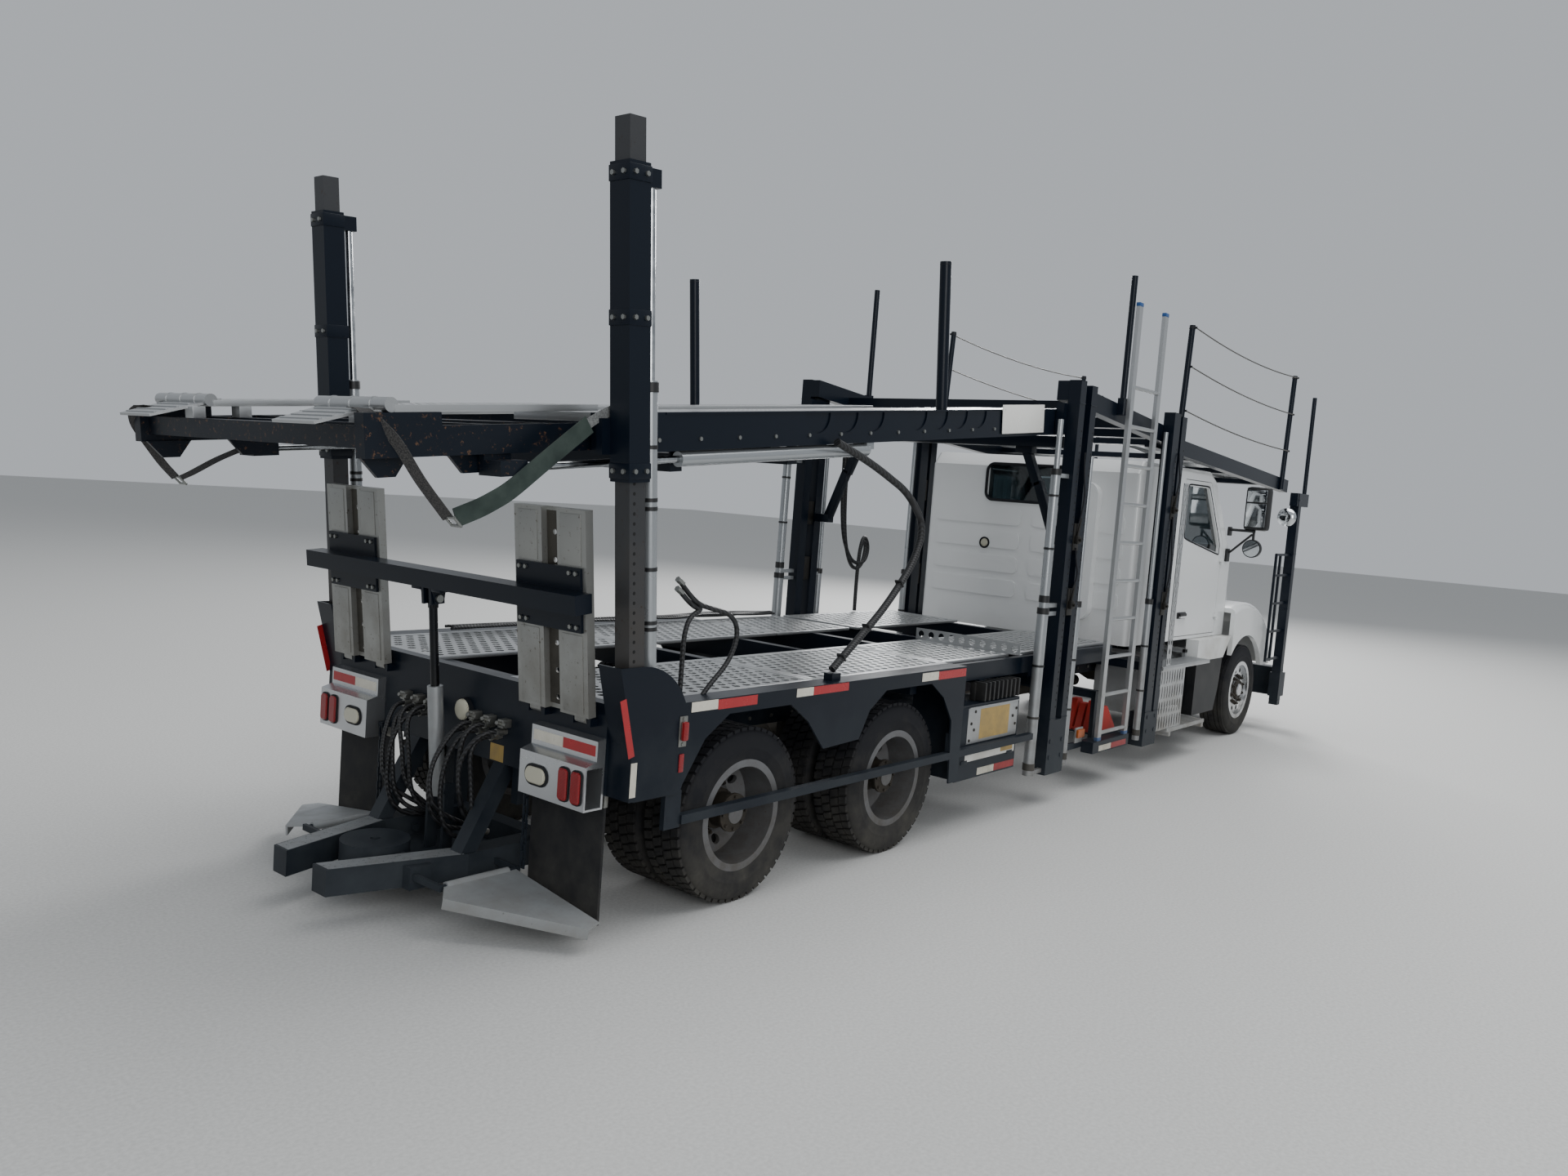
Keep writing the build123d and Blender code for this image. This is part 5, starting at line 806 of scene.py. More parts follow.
# Lift cylinders: silver-painted barrels with black gland nuts, hose bands and clamps; the chromed
# rods run up through them to the lugs of the sleeves.
silver_paint = weathered(
    "silver_cylinder_paint", "#9fa3a6", "#7d7a75", "#4b4a48", 150, 1.4, metallic=0.6, roughness=0.34, dust_top=2.2,
)
hard_chrome = toned(
    "hard_chrome_rod", [(0.3, "#8e9194"), (0.75, "#c9ccce")], noise=(16.0, 5.0), gloss=(0.35, 1.0, 0.1, 0.32),
    metallic=1.0, roughness=0.14,
)
finish_nodes(silver_paint, "lift_barrels", "slide_barrels")
finish_nodes(hard_chrome, "lift_rods", "slide_rods")
POST_BANDS = [
    # height up the post, length, radius
    (0.06, 0.05, 0.0375), (0.34, 0.018, 0.0355), (0.37, 0.018, 0.0355), (0.62, 0.018, 0.0355),
    (0.90, 0.018, 0.0355), (0.94, 0.018, 0.0355), (1.18, 0.018, 0.0355), (1.435, 0.045, 0.0385),
]
SIDE_TUBES = [
    # behind the front axle, foot, top, radius
    (4.770, 0.25, 1.480, 0.040), (4.770, 1.48, 2.480, 0.034), (4.220, 0.26, 1.515, 0.028),
    (2.850, 0.29, 1.500, 0.030),
]
bm = bmesh.new()
for side in BOTH:
    for z, length, radius in POST_BANDS:
        ends = [(0.125, side * REAR_POST_Y, height) for height in (z, z + length)]
        put_round(bm, *ends, radius, sides=24, matrix=POST_PLANE)
    for x, low, top, radius in SIDE_TUBES:
        for z, length in ((low + 0.04, 0.05), (low + 0.42, 0.016), (low + 0.80, 0.016), (top - 0.045, 0.045)):
            put_round(bm, *route((x, 1.240, z), (x, 1.240, z + length), side=side), radius + 0.004, sides=24)
finish_piece("cylinder_bands_and_glands", bm, black_plastic)

# Sleeves: navy square tubes that slide on the posts. Wear straps are welded round them, and bolts
# hold the pads inside.
finish_nodes(navy_enamel, "rear_sleeves")
SLEEVE_HALF = 0.0675
PAD_BOLT = 0.012
bm = bmesh.new()
bolts = bmesh.new()
for z in (1.05, 1.72, 2.33):
    put_pair(
        bm, (-SLEEVE_HALF, SLEEVE_HALF), (REAR_POST_Y - SLEEVE_HALF, REAR_POST_Y + SLEEVE_HALF), (z, z + 0.07),
        0.004, POST_PLANE,
    )
    for shift in (-0.035, 0.035):
        put_studs(
            bolts, [(shift, z + 0.035)], (REAR_POST_Y + 0.066, REAR_POST_Y + 0.078), PAD_BOLT, matrix=POST_PLANE
        )
        for side in BOTH:
            ends = [(x, side * REAR_POST_Y + shift, z + 0.035) for x in (-0.066, -0.078)]
            put_round(bolts, *ends, PAD_BOLT, sides=6, matrix=POST_PLANE)
finish_piece("sleeve_wear_straps", bm, navy_enamel, "rear_sleeves")
finish_piece("sleeve_pad_bolts", bolts, zinc_plate, "rear_sleeves")

# Side posts and the bridge over the middle: navy box sections, welded where they meet. Plugs close
# the bores at their feet.
finish_nodes(navy_enamel, "side_posts", "bridge_frame")
weld_bead = weathered(
    "painted_weld_bead", "#0f1823", "#3a3f42", "#4a3a2c", 40, 6.0, roughness=0.5, wear=0.62, bump_mm=1.2,
    Specular_IOR_Level=0.25,
)
SIDE_POSTS = [
    # behind the front axle, half width, top, heights of the weld beads, the lock holes' distance to the front
    (4.545, 0.045, 3.130, (0.652, 2.966), 0.026),
    (4.360, 0.045, 3.110, (0.652, 2.966), 0.026),
    (2.740, 0.065, 3.070, (0.528,), 0.040),
    (2.580, 0.050, 3.050, (0.528,), 0.030),
]
beads = []
bm = bmesh.new()
for x, half, top, weld_heights, offset in SIDE_POSTS:
    for side in BOTH:
        for z in weld_heights:
            beads.append([(behind(x) - half + half * k / 2, side * 1.2862, z) for k in range(5)])
    put_blocks(bm, BOTH, (x + half, x - half, 1.190, 1.285, top - 0.006, top, 0.002))
    put_studs(bm, [(behind(x), 0.36), (behind(x), 0.48)], (1.284, 1.2895), 0.017, sides=24)
lay_tubes("post_weld_beads", beads, 0.0035, weld_bead)
finish_piece("post_plugs_and_tops", bm, navy_enamel)

# Lock holes and lock gear of the side posts: a column of small round holes in each post, with cast
# pawls and their cables over them. The bent braces below the bridge are welded square tube.
bm = bmesh.new()
for x, half, top, weld_heights, offset in SIDE_POSTS:
    put_studs(
        bm, [(behind(x - offset), 0.74 + 0.052 * hole) for hole in range(40)], (1.2849, 1.2853), 0.0085, sides=12
    )
finish_piece("side_post_lock_holes", bm, dark_bore)
bm = bmesh.new()
for x, z in ((4.452, 1.90), (4.452, 1.42), (2.660, 2.18), (2.660, 1.36)):
    put_blocks(
        bm, BOTH, (x + 0.045, x - 0.045, 1.200, 1.292, z, z + 0.20, 0.006),
        (x + 0.030, x - 0.030, 1.285, 1.318, z + 0.05, z + 0.11, 0.008),
    )
    put_studs(bm, [(behind(x), z + 0.08)], (1.318, 1.334), 0.012)
    for side in BOTH:
        put_round(bm, *route((x, 1.300, z + 0.11), (x - 0.02, 1.306, z + 0.24), side=side), 0.008)
finish_piece("post_lock_pawls", bm, greasy_iron)
lock_cables = []
for side in BOTH:
    for x, low, high in ((4.452, 1.62, 1.92), (4.452, 2.10, 2.62), (2.660, 1.56, 2.20), (2.660, 2.38, 2.74)):
        lock_cables.append(
            route(
                (x, 1.300, low), (x - 0.035, 1.318, (low * 2 + high) / 3), (x + 0.025, 1.316, (low + high * 2) / 3),
                (x, 1.296, high), side=side,
            )
        )
lay_tubes("post_lock_cables", lock_cables, 0.0055, black_rubber)
bm = bmesh.new()
for side in BOTH:
    for start, end in (((0.765, 2.660), (0.900, 2.360)), ((0.900, 2.390), (1.075, 1.960))):
        run = Vector((0, side * (end[0] - start[0]), end[1] - start[1]))
        turn = run.to_track_quat("Z", "Y").to_matrix().to_4x4()
        foot = Matrix.Translation((behind(4.37), side * start[0], start[1])) @ turn
        put_box(bm, (-0.032, 0.032), (-0.032, 0.032), (0.0, run.length), 0.004, foot)
put_blocks(
    bm, BOTH, (4.41, 4.33, 0.700, 0.840, 2.600, 2.690, 0.005), (4.41, 4.33, 1.040, 1.1905, 1.930, 2.000, 0.004)
)
put_blocks(bm, (1,), (4.43, 4.31, -1.100, 1.100, 2.650, 2.735, 0.005))
finish_piece("bent_braces", bm, navy_enamel)

# Upper deck: navy folded rails with scalloped pockets and a stake each side. Punched aluminium
# tracks lie on its crossbars, stiffened by strips and bolted to the rails.
finish_nodes(navy_enamel, "upper_deck_frame")
DECK_PLANE = tilted(behind(4.545), 2.850, 5.9)
TRACK_INNER = 0.480
TRACK_RIM = 0.015
SHEET_INNER = TRACK_INNER + TRACK_RIM
TRACK_HOLE = 0.0220
for side, label in SIDES:
    bm = bmesh.new()
    grip_track(
        bm, side, rim(-4.440, -0.110, TRACK_RIM), (TRACK_INNER, SHEET_INNER, 1.020, 1.0347), (0.035, 0.075),
        (0.068, 0.0745), (0.076, 0.065), TRACK_HOLE, DECK_PLANE,
    )
    for x in (-0.3, -1.3, -2.1):
        across = (side * TRACK_INNER, side * (TRACK_INNER + 0.06))
        put_box(bm, (x - 0.04, x + 0.04), across, (0.0203, 0.036), 0.001, DECK_PLANE)
    for step in range(8):
        x = -4.20 + 0.55 * step
        across = (side * (TRACK_INNER + 0.01), side * 1.025)
        put_box(bm, (x - 0.02, x + 0.02), across, (0.037, 0.0675), 0.002, DECK_PLANE)
    track = finish_piece(f"upper_deck_track_{label}", bm, mill_aluminium, "upper_deck")
    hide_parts("upper_deck_tracks")
bm = bmesh.new()
put_studs(bm, [(-4.10 + 0.285 * step, -0.055) for step in range(14)], (1.124, 1.133), 0.011, matrix=DECK_PLANE)
finish_piece("deck_rail_bolts", bm, zinc_plate, "upper_deck")

# Caps on the deck stakes: round black rubber, moulded and pressed over the tube's end.
# They keep the rain out of the stakes.
bm = bmesh.new()
for side in BOTH:
    ends = [(-1.560, side * 1.080, height) for height in (0.966, 0.984)]
    put_round(bm, *ends, 0.0375, 0.030, 24, DECK_PLANE)
finish_piece("stake_caps", bm, black_rubber, "upper_deck")

# Blank sign on the right deck rail: white painted aluminium sheet on four rivets; its wording is
# left off.
sign_white = weathered(
    "sign_sheet_white", "#e4e4df", "#aca79c", "#c9c7c0", 300, 1.0, roughness=0.35, dust_top=3.4, wear=0.75,
)
bm = bmesh.new()
put_box(bm, (-0.875, -0.285), (-1.1385, -1.1335), (-0.090, 0.105), 0.004, DECK_PLANE)
for x in (-0.84, -0.32):
    for z in (-0.06, 0.075):
        put_round(bm, (x, -1.1330, z), (x, -1.1415, z), 0.007, sides=12, matrix=DECK_PLANE)
finish_piece("blank_sign", bm, sign_white, "upper_deck")

# Deck extension: navy beams that telescope in the deck, with aluminium tracks, a roller bar and
# tapered tip plates at the rear. The beams show rust where they slide.
rubbed_enamel = weathered(
    "navy_enamel_rubbed_to_rust", "#0c141e", "#39393a", "#5f4634", 240, 2.6, roughness=0.42, dust_top=3.0,
    wear=0.58, bump_mm=0.4, Specular_IOR_Level=0.25,
)
finish_nodes(rubbed_enamel, "extension_frame")
TIP_PLANE = DECK_PLANE @ Matrix.Translation((-5.400, 0, 0.103)) @ Matrix.Rotation(-math.radians(13), 4, "Y")
TIP_OUTLINE = [(0.02, 0.50), (0.02, 0.94), (-0.297, 0.88), (-0.297, 0.56)]
for side, label in SIDES:
    bm = bmesh.new()
    grip_track(
        bm, side, rim(-5.430, -4.380, TRACK_RIM), rim(TRACK_INNER, 1.020, TRACK_RIM), (0.0813, 0.111),
        (0.104, 0.1105), (0.076, 0.065), TRACK_HOLE, DECK_PLANE,
    )
    for x in (-5.28, -5.50):
        across = (side * TRACK_INNER, side * (TRACK_INNER + 0.08))
        put_box(bm, (x - 0.03, x + 0.03), across, (0.0283, 0.082), 0.002, DECK_PLANE)
    rollers = [(TRACK_INNER + 0.005, 1.015, 0.030)] + [(y - 0.006, y + 0.006, 0.0325) for y in (0.60, 0.75, 0.90)]
    for y0, y1, radius in rollers:
        ends = [(-5.440, side * y, 0.111) for y in (y0, y1)]
        put_round(bm, *ends, radius, sides=32, matrix=DECK_PLANE)
    skin(bm, [[TIP_PLANE @ Vector((x, side * y, z)) for x, y in TIP_OUTLINE] for z in (0.0, 0.012)])
    for row in range(5):
        x = -0.055 - 0.052 * row
        across = (side * (0.56 + 0.002 * row), side * (0.90 - 0.006 * row))
        put_box(bm, (x - 0.006, x + 0.006), across, (0.011, 0.0165), 0.001, TIP_PLANE)
    track = finish_piece(f"extension_track_{label}", bm, mill_aluminium, "deck_extension")
    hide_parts("extension_tracks")

# Head ramp over the cab: navy frame with guard poles, aluminium tracks and sagging wire ropes.
# A ribbed plate joins the tracks at the front, and rubber caps and eyes hold the ropes.
finish_nodes(navy_enamel, "head_ramp_frame")
RAMP_PLANE = tilted(behind(2.640), 2.830, -3.5)
for side, label in SIDES:
    bm = bmesh.new()
    grip_track(
        bm, side, rim(0.150, 3.400, TRACK_RIM), rim(TRACK_INNER, 1.060, TRACK_RIM), (0.0403, 0.075),
        (0.068, 0.0745), (0.076, 0.066), TRACK_HOLE, RAMP_PLANE,
    )
    if label == "left":
        put_box(bm, (2.700, 3.380), (-TRACK_INNER, TRACK_INNER), (0.0403, 0.0700), 0.003, RAMP_PLANE)
        for rib in range(9):
            x = 2.74 + 0.073 * rib
            put_box(bm, (x, x + 0.022), (-0.46, 0.46), (0.069, 0.0795), 0.003, RAMP_PLANE)
    track = finish_piece(f"head_ramp_track_{label}", bm, mill_aluminium, "head_ramp")
    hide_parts("head_ramp_tracks")
galvanised_rope = toned(
    "galvanised_wire_rope", [(0.2, "#3a3733"), (0.8, "#7c7a75")], wave=(90.0, "DIAGONAL", 0.8, 0.001), metallic=0.7,
    roughness=0.45,
)


def sagging(start, end, sag, count=9):
    """Points of a slack rope between two fixed ends."""
    points = []
    for step in range(count):
        share = step / (count - 1)
        points.append(tuple(start.lerp(end, share) - Vector((0, 0, 4 * sag * share * (1 - share)))))
    return points


POLE_Y = 1.195
ROPES = [
    # height at the rear pole, at the front pole, sag
    (1.015, 1.115, 0.055), (0.680, 0.730, 0.040), (0.300, 0.345, 0.035),
]
ropes = []
bm = bmesh.new()
for side in BOTH:
    for low, high, sag in ROPES:
        ends = [RAMP_PLANE @ Vector((x, side * (POLE_Y + 0.030), z)) for x, z in ((0.18, low), (3.12, high))]
        ropes.append(sagging(*ends, sag))
    for x, top in ((0.18, 1.035), (3.12, 1.135)):
        ends = [(x, side * POLE_Y, height) for height in (top - 0.030, top - 0.001)]
        put_round(bm, *ends, 0.028, 0.024, 24, RAMP_PLANE)
lay_tubes("guard_ropes", ropes, 0.0058, galvanised_rope, "head_ramp")
eyes = [(0.18, low) for low, high, sag in ROPES] + [(3.12, high) for low, high, sag in ROPES]
put_studs(bm, eyes, (POLE_Y + 0.018, POLE_Y + 0.040), 0.010, sides=12, matrix=RAMP_PLANE)
finish_piece("pole_caps_and_eyes", bm, black_rubber, "head_ramp")

# Flip plates: aluminium box extrusions with a centre channel of grip holes, and cross ribs welded
# over their faces. The navy crossbar carries them; its lift cylinder is silver with a chromed rod.
stained_aluminium = weathered(
    "aluminium_extrusion_stained", "#9c9d9a", "#6d675c", "#5a4f43", 210, 1.6, metallic=0.75, roughness=0.46,
    dust_top=2.6, wear=0.60, bump_mm=0.3,
)
# Painted shade: the chromed rod of the flip cylinder is coloured dark grey instead of bright chrome.
chrome_rod_in_painted_shade = weathered(
    "chrome_rod_dark_painted_shade", "#26282b", "#3b3833", "#6a6d70", 90, 1.0, metallic=0.9, roughness=0.3, wear=0.68,
)
finish_nodes(stained_aluminium, "flip_plates")
finish_nodes(navy_enamel, "flip_crossbar")
finish_nodes(silver_paint, "flip_barrel")
finish_nodes(chrome_rod_in_painted_shade, "flip_rod")
PLATE_PLANE = tilted(behind(8.874), 1.045, 5.8)
PLATE_MIDDLE = 0.842
bm = bmesh.new()
for inner, outer in ((0.600, 0.775), (0.905, 1.085)):
    for rib in range(9):
        z = 0.09 + 0.105 * rib
        put_pair(bm, (-0.0005, 0.0055), (inner, outer), (z, z + 0.014), 0.002, PLATE_PLANE)
    for limits in ((0.040, 0.410), (0.735, 0.970)):
        put_pair(bm, (-0.0485, -0.0445), (inner + 0.02, outer - 0.02), limits, 0.0015, PLATE_PLANE)
finish_piece("flip_plate_ribs", bm, stained_aluminium, "flip_gate")
# Painted shade: the lining of the recessed centre channel is coloured much darker than the plates.
channel_painted_shade = weathered(
    "aluminium_channel_painted_shade", "#4d4a44", "#2d2a26", "#7b7870", 120, 1.6, metallic=0.6, roughness=0.55,
    dust_top=2.6, wear=0.64,
)
bm = bmesh.new()
for side in BOTH:
    perforated_plate(
        bm, (side * (PLATE_MIDDLE - 0.054), side * (PLATE_MIDDLE + 0.054)), (0.047, 0.971), (-0.0118, -0.0104),
        (0.5, 0.066), (0.014, 0.014), PLATE_PLANE @ CROSSWAYS,
    )
finish_piece("flip_plate_channel_lining", bm, channel_painted_shade, "flip_gate")
bm = bmesh.new()
for side in BOTH:
    for y in (0.640, 0.685, 1.000, 1.045):
        for z in (0.450, 0.700):
            ends = [(x, side * y, z) for x in (-0.0595, -0.0700)]
            put_round(bm, *ends, 0.011, sides=6, matrix=PLATE_PLANE)
for y in (-0.052, 0.052):
    put_round(bm, (-0.115, y - 0.012, 0.475), (-0.115, y + 0.012, 0.475), 0.020, sides=20, matrix=PLATE_PLANE)
finish_piece("crossbar_bolts", bm, zinc_plate, "flip_gate")
CHEEK_OUTLINE = [(-0.155, 0.532), (-0.068, 0.532), (-0.085, 0.450), (-0.140, 0.450)]
bm = bmesh.new()
for y in (-0.047, 0.047):
    skin(bm, [[PLATE_PLANE @ Vector((x, face, z)) for x, z in CHEEK_OUTLINE] for face in (y - 0.004, y + 0.004)])
put_pair(bm, (-0.158, -0.062), (0.047, 0.125), (0.515, 0.531), 0.004, PLATE_PLANE)
finish_piece("crossbar_clevis_cheeks", bm, navy_enamel, "flip_gate")

# Tool boxes and light boxes: folded sheet with lids, bolted facings and hinges, and a finned oil
# cooler above each tool box. The yellow labels are left blank.
finish_nodes(brushed_aluminium, "light_boxes")
finish_nodes(navy_enamel, "tool_boxes")
blank_label = weathered(
    "blank_yellow_label_film", "#b3934a", "#776d55", "#8f7c50", 90, 1.0, roughness=0.42, wear=0.64,
)
BOX_BOLTS = [
    (5.600, 0.800), (5.645, 0.722), (5.605, 0.676), (5.660, 0.608), (5.030, 0.772), (5.075, 0.722), (5.035, 0.662),
]
bm = bmesh.new()
put_blocks(
    bm, BOTH, (5.785, 5.000, 1.2295, 1.2335, 0.455, 0.835, 0.002),
    *[(x + 0.04, x - 0.04, 1.2330, 1.2385, 0.45, 0.475, 0.003) for x in (5.70, 5.08)],
)
put_blocks(bm, (1,), (5.44, 5.34, 1.2330, 1.2400, 0.79, 0.825, 0.004))
finish_piece("tool_box_lids", bm, navy_enamel)
bm = bmesh.new()
put_blocks(
    bm, BOTH, (5.690, 5.010, 1.2330, 1.2362, 0.585, 0.832, 0.0012),
    (5.690, 5.010, 1.2362, 1.2460, 0.828, 0.834, 0.0012),
)
finish_piece("tool_box_facing", bm, mill_aluminium)
bm = bmesh.new()
put_blocks(bm, BOTH, (5.690, 5.010, 1.2330, 1.2356, 0.462, 0.566, 0.0012))
finish_piece("tool_box_lower_panel", bm, sign_white)
bm = bmesh.new()
put_studs(bm, [(behind(x), z) for x, z in BOX_BOLTS], (1.2360, 1.2400), 0.011)
finish_piece("tool_box_bolts", bm, greasy_iron)
bm = bmesh.new()
put_blocks(
    bm, (-1,), (5.531, 5.130, 1.2360, 1.2367, 0.606, 0.812, 0), (5.210, 5.040, 1.2354, 1.2361, 0.480, 0.516, 0),
    (8.8496, 8.8508, 0.292, 0.400, 0.706, 0.792, 0),
)
finish_piece("blank_labels", bm, blank_label)
bm = bmesh.new()
for fin in range(9):
    x = 5.485 - 0.0585 * fin
    put_blocks(bm, BOTH, (x, x - 0.020, 1.140, 1.232, 0.858, 0.985, 0.003))
put_blocks(bm, BOTH, (5.50, 4.98, 1.120, 1.160, 0.852, 0.975, 0.004))
finish_piece("finned_cooler", bm, black_plastic)

# Rear lamps: moulded red and clear polycarbonate lenses in rubber grommets, pressed into the light
# boxes, with reflective film above them.
red_lens = toned(
    "prismatic_red_lens_polycarbonate", [(0.2, "#6f0d11"), (0.8, "#a3161c")], wave=(60.0, "Z", 0.4, 0.001),
    roughness=0.16, Transmission_Weight=0.15, IOR=1.58,
)
LENS = (behind(8.966), behind(8.983))
GROMMET = (behind(8.9655), behind(8.973))


def oblong(bm, x, y, half_y, half_z, corner):
    """A rounded pad at the lamps' height that stands out between two limits, with its face domed."""
    levels = ((x[0], 0.0), (x[0] + (x[1] - x[0]) * 0.7, 0.0), (x[1], 0.006))
    skin(bm, [rounded_loop(at, y, 0.745, half_y, half_z, corner, shrink) for at, shrink in levels])


bm = bmesh.new()
beige = bmesh.new()
grommets = bmesh.new()
for side in BOTH:
    for y in (1.095, 1.005):
        oblong(bm, LENS, side * y, 0.0320, 0.0760, 0.020)
        oblong(grommets, GROMMET, side * y, 0.0385, 0.0830, 0.027)
    oblong(beige, LENS, side * 0.805, 0.0720, 0.0400, 0.039)
    oblong(grommets, GROMMET, side * 0.805, 0.0840, 0.0520, 0.051)
put_round(grommets, *route((8.8503, -0.075, 0.925), (8.876, -0.075, 0.925)), 0.062, sides=32)
put_round(beige, *route((8.870, -0.075, 0.925), (8.880, -0.075, 0.925)), 0.0585, 0.055, 32)
red = finish_piece("stop_lamp_lenses", bm, red_lens)
clear = finish_piece("reversing_lamp_lenses", beige, clear_lens)
seals = finish_piece("lamp_grommets", grommets, black_rubber)
for lens in (red, clear, seals):
    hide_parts("rear_lamps")
bm = bmesh.new()
put_blocks(bm, BOTH, (8.9000, 8.9012, 0.690, 0.905, 0.893, 0.943, 0))
finish_piece("light_box_tape_white", bm, white_tape)
bm = bmesh.new()
put_blocks(bm, BOTH, (8.9000, 8.9012, 0.907, 1.135, 0.893, 0.943, 0))
finish_piece("light_box_tape_red", bm, red_tape)

# Side markers: a red moulded lamp and a reflector below it on the sill's tail. A zinc-plated
# bracket holds them with two screws.
bm = bmesh.new()
put_blocks(
    bm, BOTH, (8.522, 8.484, 1.3060, 1.3300, 0.955, 1.050, 0.012), (8.518, 8.486, 1.3022, 1.3080, 0.800, 0.890, 0.003)
)
finish_piece("side_markers", bm, red_lens)
bm = bmesh.new()
put_blocks(bm, BOTH, (8.530, 8.476, 1.3020, 1.3070, 0.925, 1.075, 0.004))
put_studs(bm, [(behind(8.503), 0.937), (behind(8.503), 1.063)], (1.3065, 1.3115), 0.009, sides=16)
finish_piece("marker_brackets", bm, zinc_plate)

# Mud flaps and stinger: black rubber sheet hung in a steel channel, and the welded low coupling
# frame, navy under grease and road grime. The light tops of its arms are a painted highlight.
finish_nodes(black_rubber, "mud_flaps")
finish_nodes(navy_enamel, "stinger_frame")
bm = bmesh.new()
put_blocks(bm, BOTH, (8.8345, 8.8105, 0.615, 1.145, 0.640, 0.700, 0.003))
for side in BOTH:
    for bolt in range(5):
        y = 0.68 + 0.1 * bolt
        put_round(bm, *route((8.843, y, 0.67), (8.834, y, 0.67), side=side), 0.011, sides=6)
finish_piece("mud_flap_channels", bm, zinc_plate)
# Painted highlight: a thin light bluish-grey sheet laid on the top faces of the stinger arms.
stinger_top_highlight_paint = weathered(
    "stinger_tops_painted_highlight", "#8d9194", "#6e6b65", "#22292f", 130, 2.4, metallic=0.35, roughness=0.5,
    dust_top=0.5, wear=0.57, bump_mm=0.4,
)
HIGHLIGHT_OUTLINE = [(9.070, 0.418), (9.688, 0.237), (9.688, 0.127), (9.070, 0.300)]
bm = bmesh.new()
for side in BOTH:
    skin(bm, [route(*[(x, y, z) for x, y in HIGHLIGHT_OUTLINE], side=side) for z in (0.2796, 0.2812)])
finish_piece("stinger_painted_highlight_tops", bm, stinger_top_highlight_paint)

# Wings beside the stinger: folded aluminium plate, painted pale grey and scratched. They hinge on
# rods and hang on chains.
grey_plate_paint = weathered(
    "pale_grey_plate_paint", "#a3a8ac", "#858480", "#5d5650", 260, 1.8, metallic=0.25, roughness=0.42,
    dust_top=0.9, wear=0.63,
)
finish_nodes(grey_plate_paint, "wings")

# Ladder on the right: dirty aluminium channel with serrated rungs and blue plastic end caps. It
# hooks on the deck and lifts off.
finish_nodes(mill_aluminium, "ladder")
blue_plastic = weathered(
    "blue_polypropylene_cap", "#1d4d86", "#4f5a63", "#2f6098", 60, 1.0, roughness=0.42, wear=0.74, dust_top=1.4,
)
RAILS = (3.670, 3.160)
bm = bmesh.new()
for x in RAILS:
    for z0, z1 in ((3.800, 3.8305), (0.381, 0.410)):
        put_blocks(bm, (-1,), (x + 0.0345, x - 0.0345, 1.2795, 1.2445, z0, z1, 0.006))
finish_piece("ladder_end_caps", bm, blue_plastic)
bm = bmesh.new()
for rung in range(10):
    z = 0.44 + 0.305 * rung
    for ridge in range(5):
        angle = math.radians(40 + 25 * ridge)
        y, rise = -1.262 + 0.0145 * math.cos(angle), z + 0.0145 * math.sin(angle)
        put_round(bm, *route((3.64, y, rise), (3.19, y, rise)), 0.002, sides=6)
    for x in RAILS:
        put_round(bm, *route((x, -1.2785, z), (x, -1.2760, z)), 0.017, sides=20)
finish_piece("ladder_rung_ridges", bm, mill_aluminium)

# Hoses: black hydraulic hose in spiral wrap. One bundle loops from the upper deck down to the sill,
# others hang at the rear beam and on the left side.
spiral_hose = toned(
    "black_hose_in_spiral_wrap", [(0.35, "#0d0d0e"), (0.8, "#26272a")], wave=(26.0, "DIAGONAL", 0.9, 0.002),
)
finish_nodes(spiral_hose, "hose_bundle")
TIE_LEAN = Matrix.Rotation(math.radians(-38), 4, "Y")
ties = bmesh.new()
for x, z in ((7.130, 1.258), (6.905, 1.422), (6.600, 1.675)):
    place_here = Matrix.Translation((behind(x), 0, z)) @ TIE_LEAN
    put_box(ties, (-0.006, 0.006), (-1.228, -1.178), (-0.024, 0.024), 0.003, place_here)
hose_ties = finish_piece("hose_ties", ties, black_plastic, None)
hose_mesh = nodes["hose_bundle"].data.copy()
hose_mesh.transform(nodes["hose_bundle"].matrix_world)
deck_hoses = new_object("deck_hoses", hose_mesh)
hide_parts("hose_bundle")
for piece in (deck_hoses, hose_ties):
    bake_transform(piece)
sill_runs = []
for run in range(5):
    points = []
    for step in range(12):
        x = behind(8.15 - 0.285 * step)
        points.append((x, 1.062 + 0.021 * run + random.uniform(-0.006, 0.006), 1.158 + random.uniform(0, 0.022)))
    sill_runs.append(points)
lay_tubes("left_sill_hoses", sill_runs, 0.0095, spiral_hose)
rear_loops = [
    route(
        (8.433, -1.150, 1.705), (8.324, -1.150, 1.598), (8.203, -1.155, 1.566), (8.045, -1.160, 1.532),
        (7.990, -1.165, 1.432), (8.050, -1.165, 1.286), (8.192, -1.160, 1.170), (8.230, -1.155, 1.120),
    ),
    route(
        (8.433, -1.150, 1.660), (8.330, -1.145, 1.575), (8.251, -1.145, 1.567), (8.347, -1.150, 1.530),
        (8.379, -1.150, 1.450), (8.381, -1.150, 1.348), (8.383, -1.150, 1.140),
    ),
]
lay_tubes("rear_sill_hoses", rear_loops, 0.013, spiral_hose)
left_loops = [
    route(
        (4.160 - shift, 1.100, 2.560), (4.150 - shift, 1.105, 1.960), (3.960, 1.110, 1.590 - shift),
        (3.730 + shift, 1.110, 1.560 - shift), (3.665 + shift, 1.110, 1.720), (3.770, 1.110, 1.850 - shift),
        (3.830, 1.110, 1.570), (3.815, 1.110, 1.140),
    )
    for shift in (0.0, 0.045)
]
lay_tubes("left_side_hoses", left_loops, 0.017, spiral_hose)
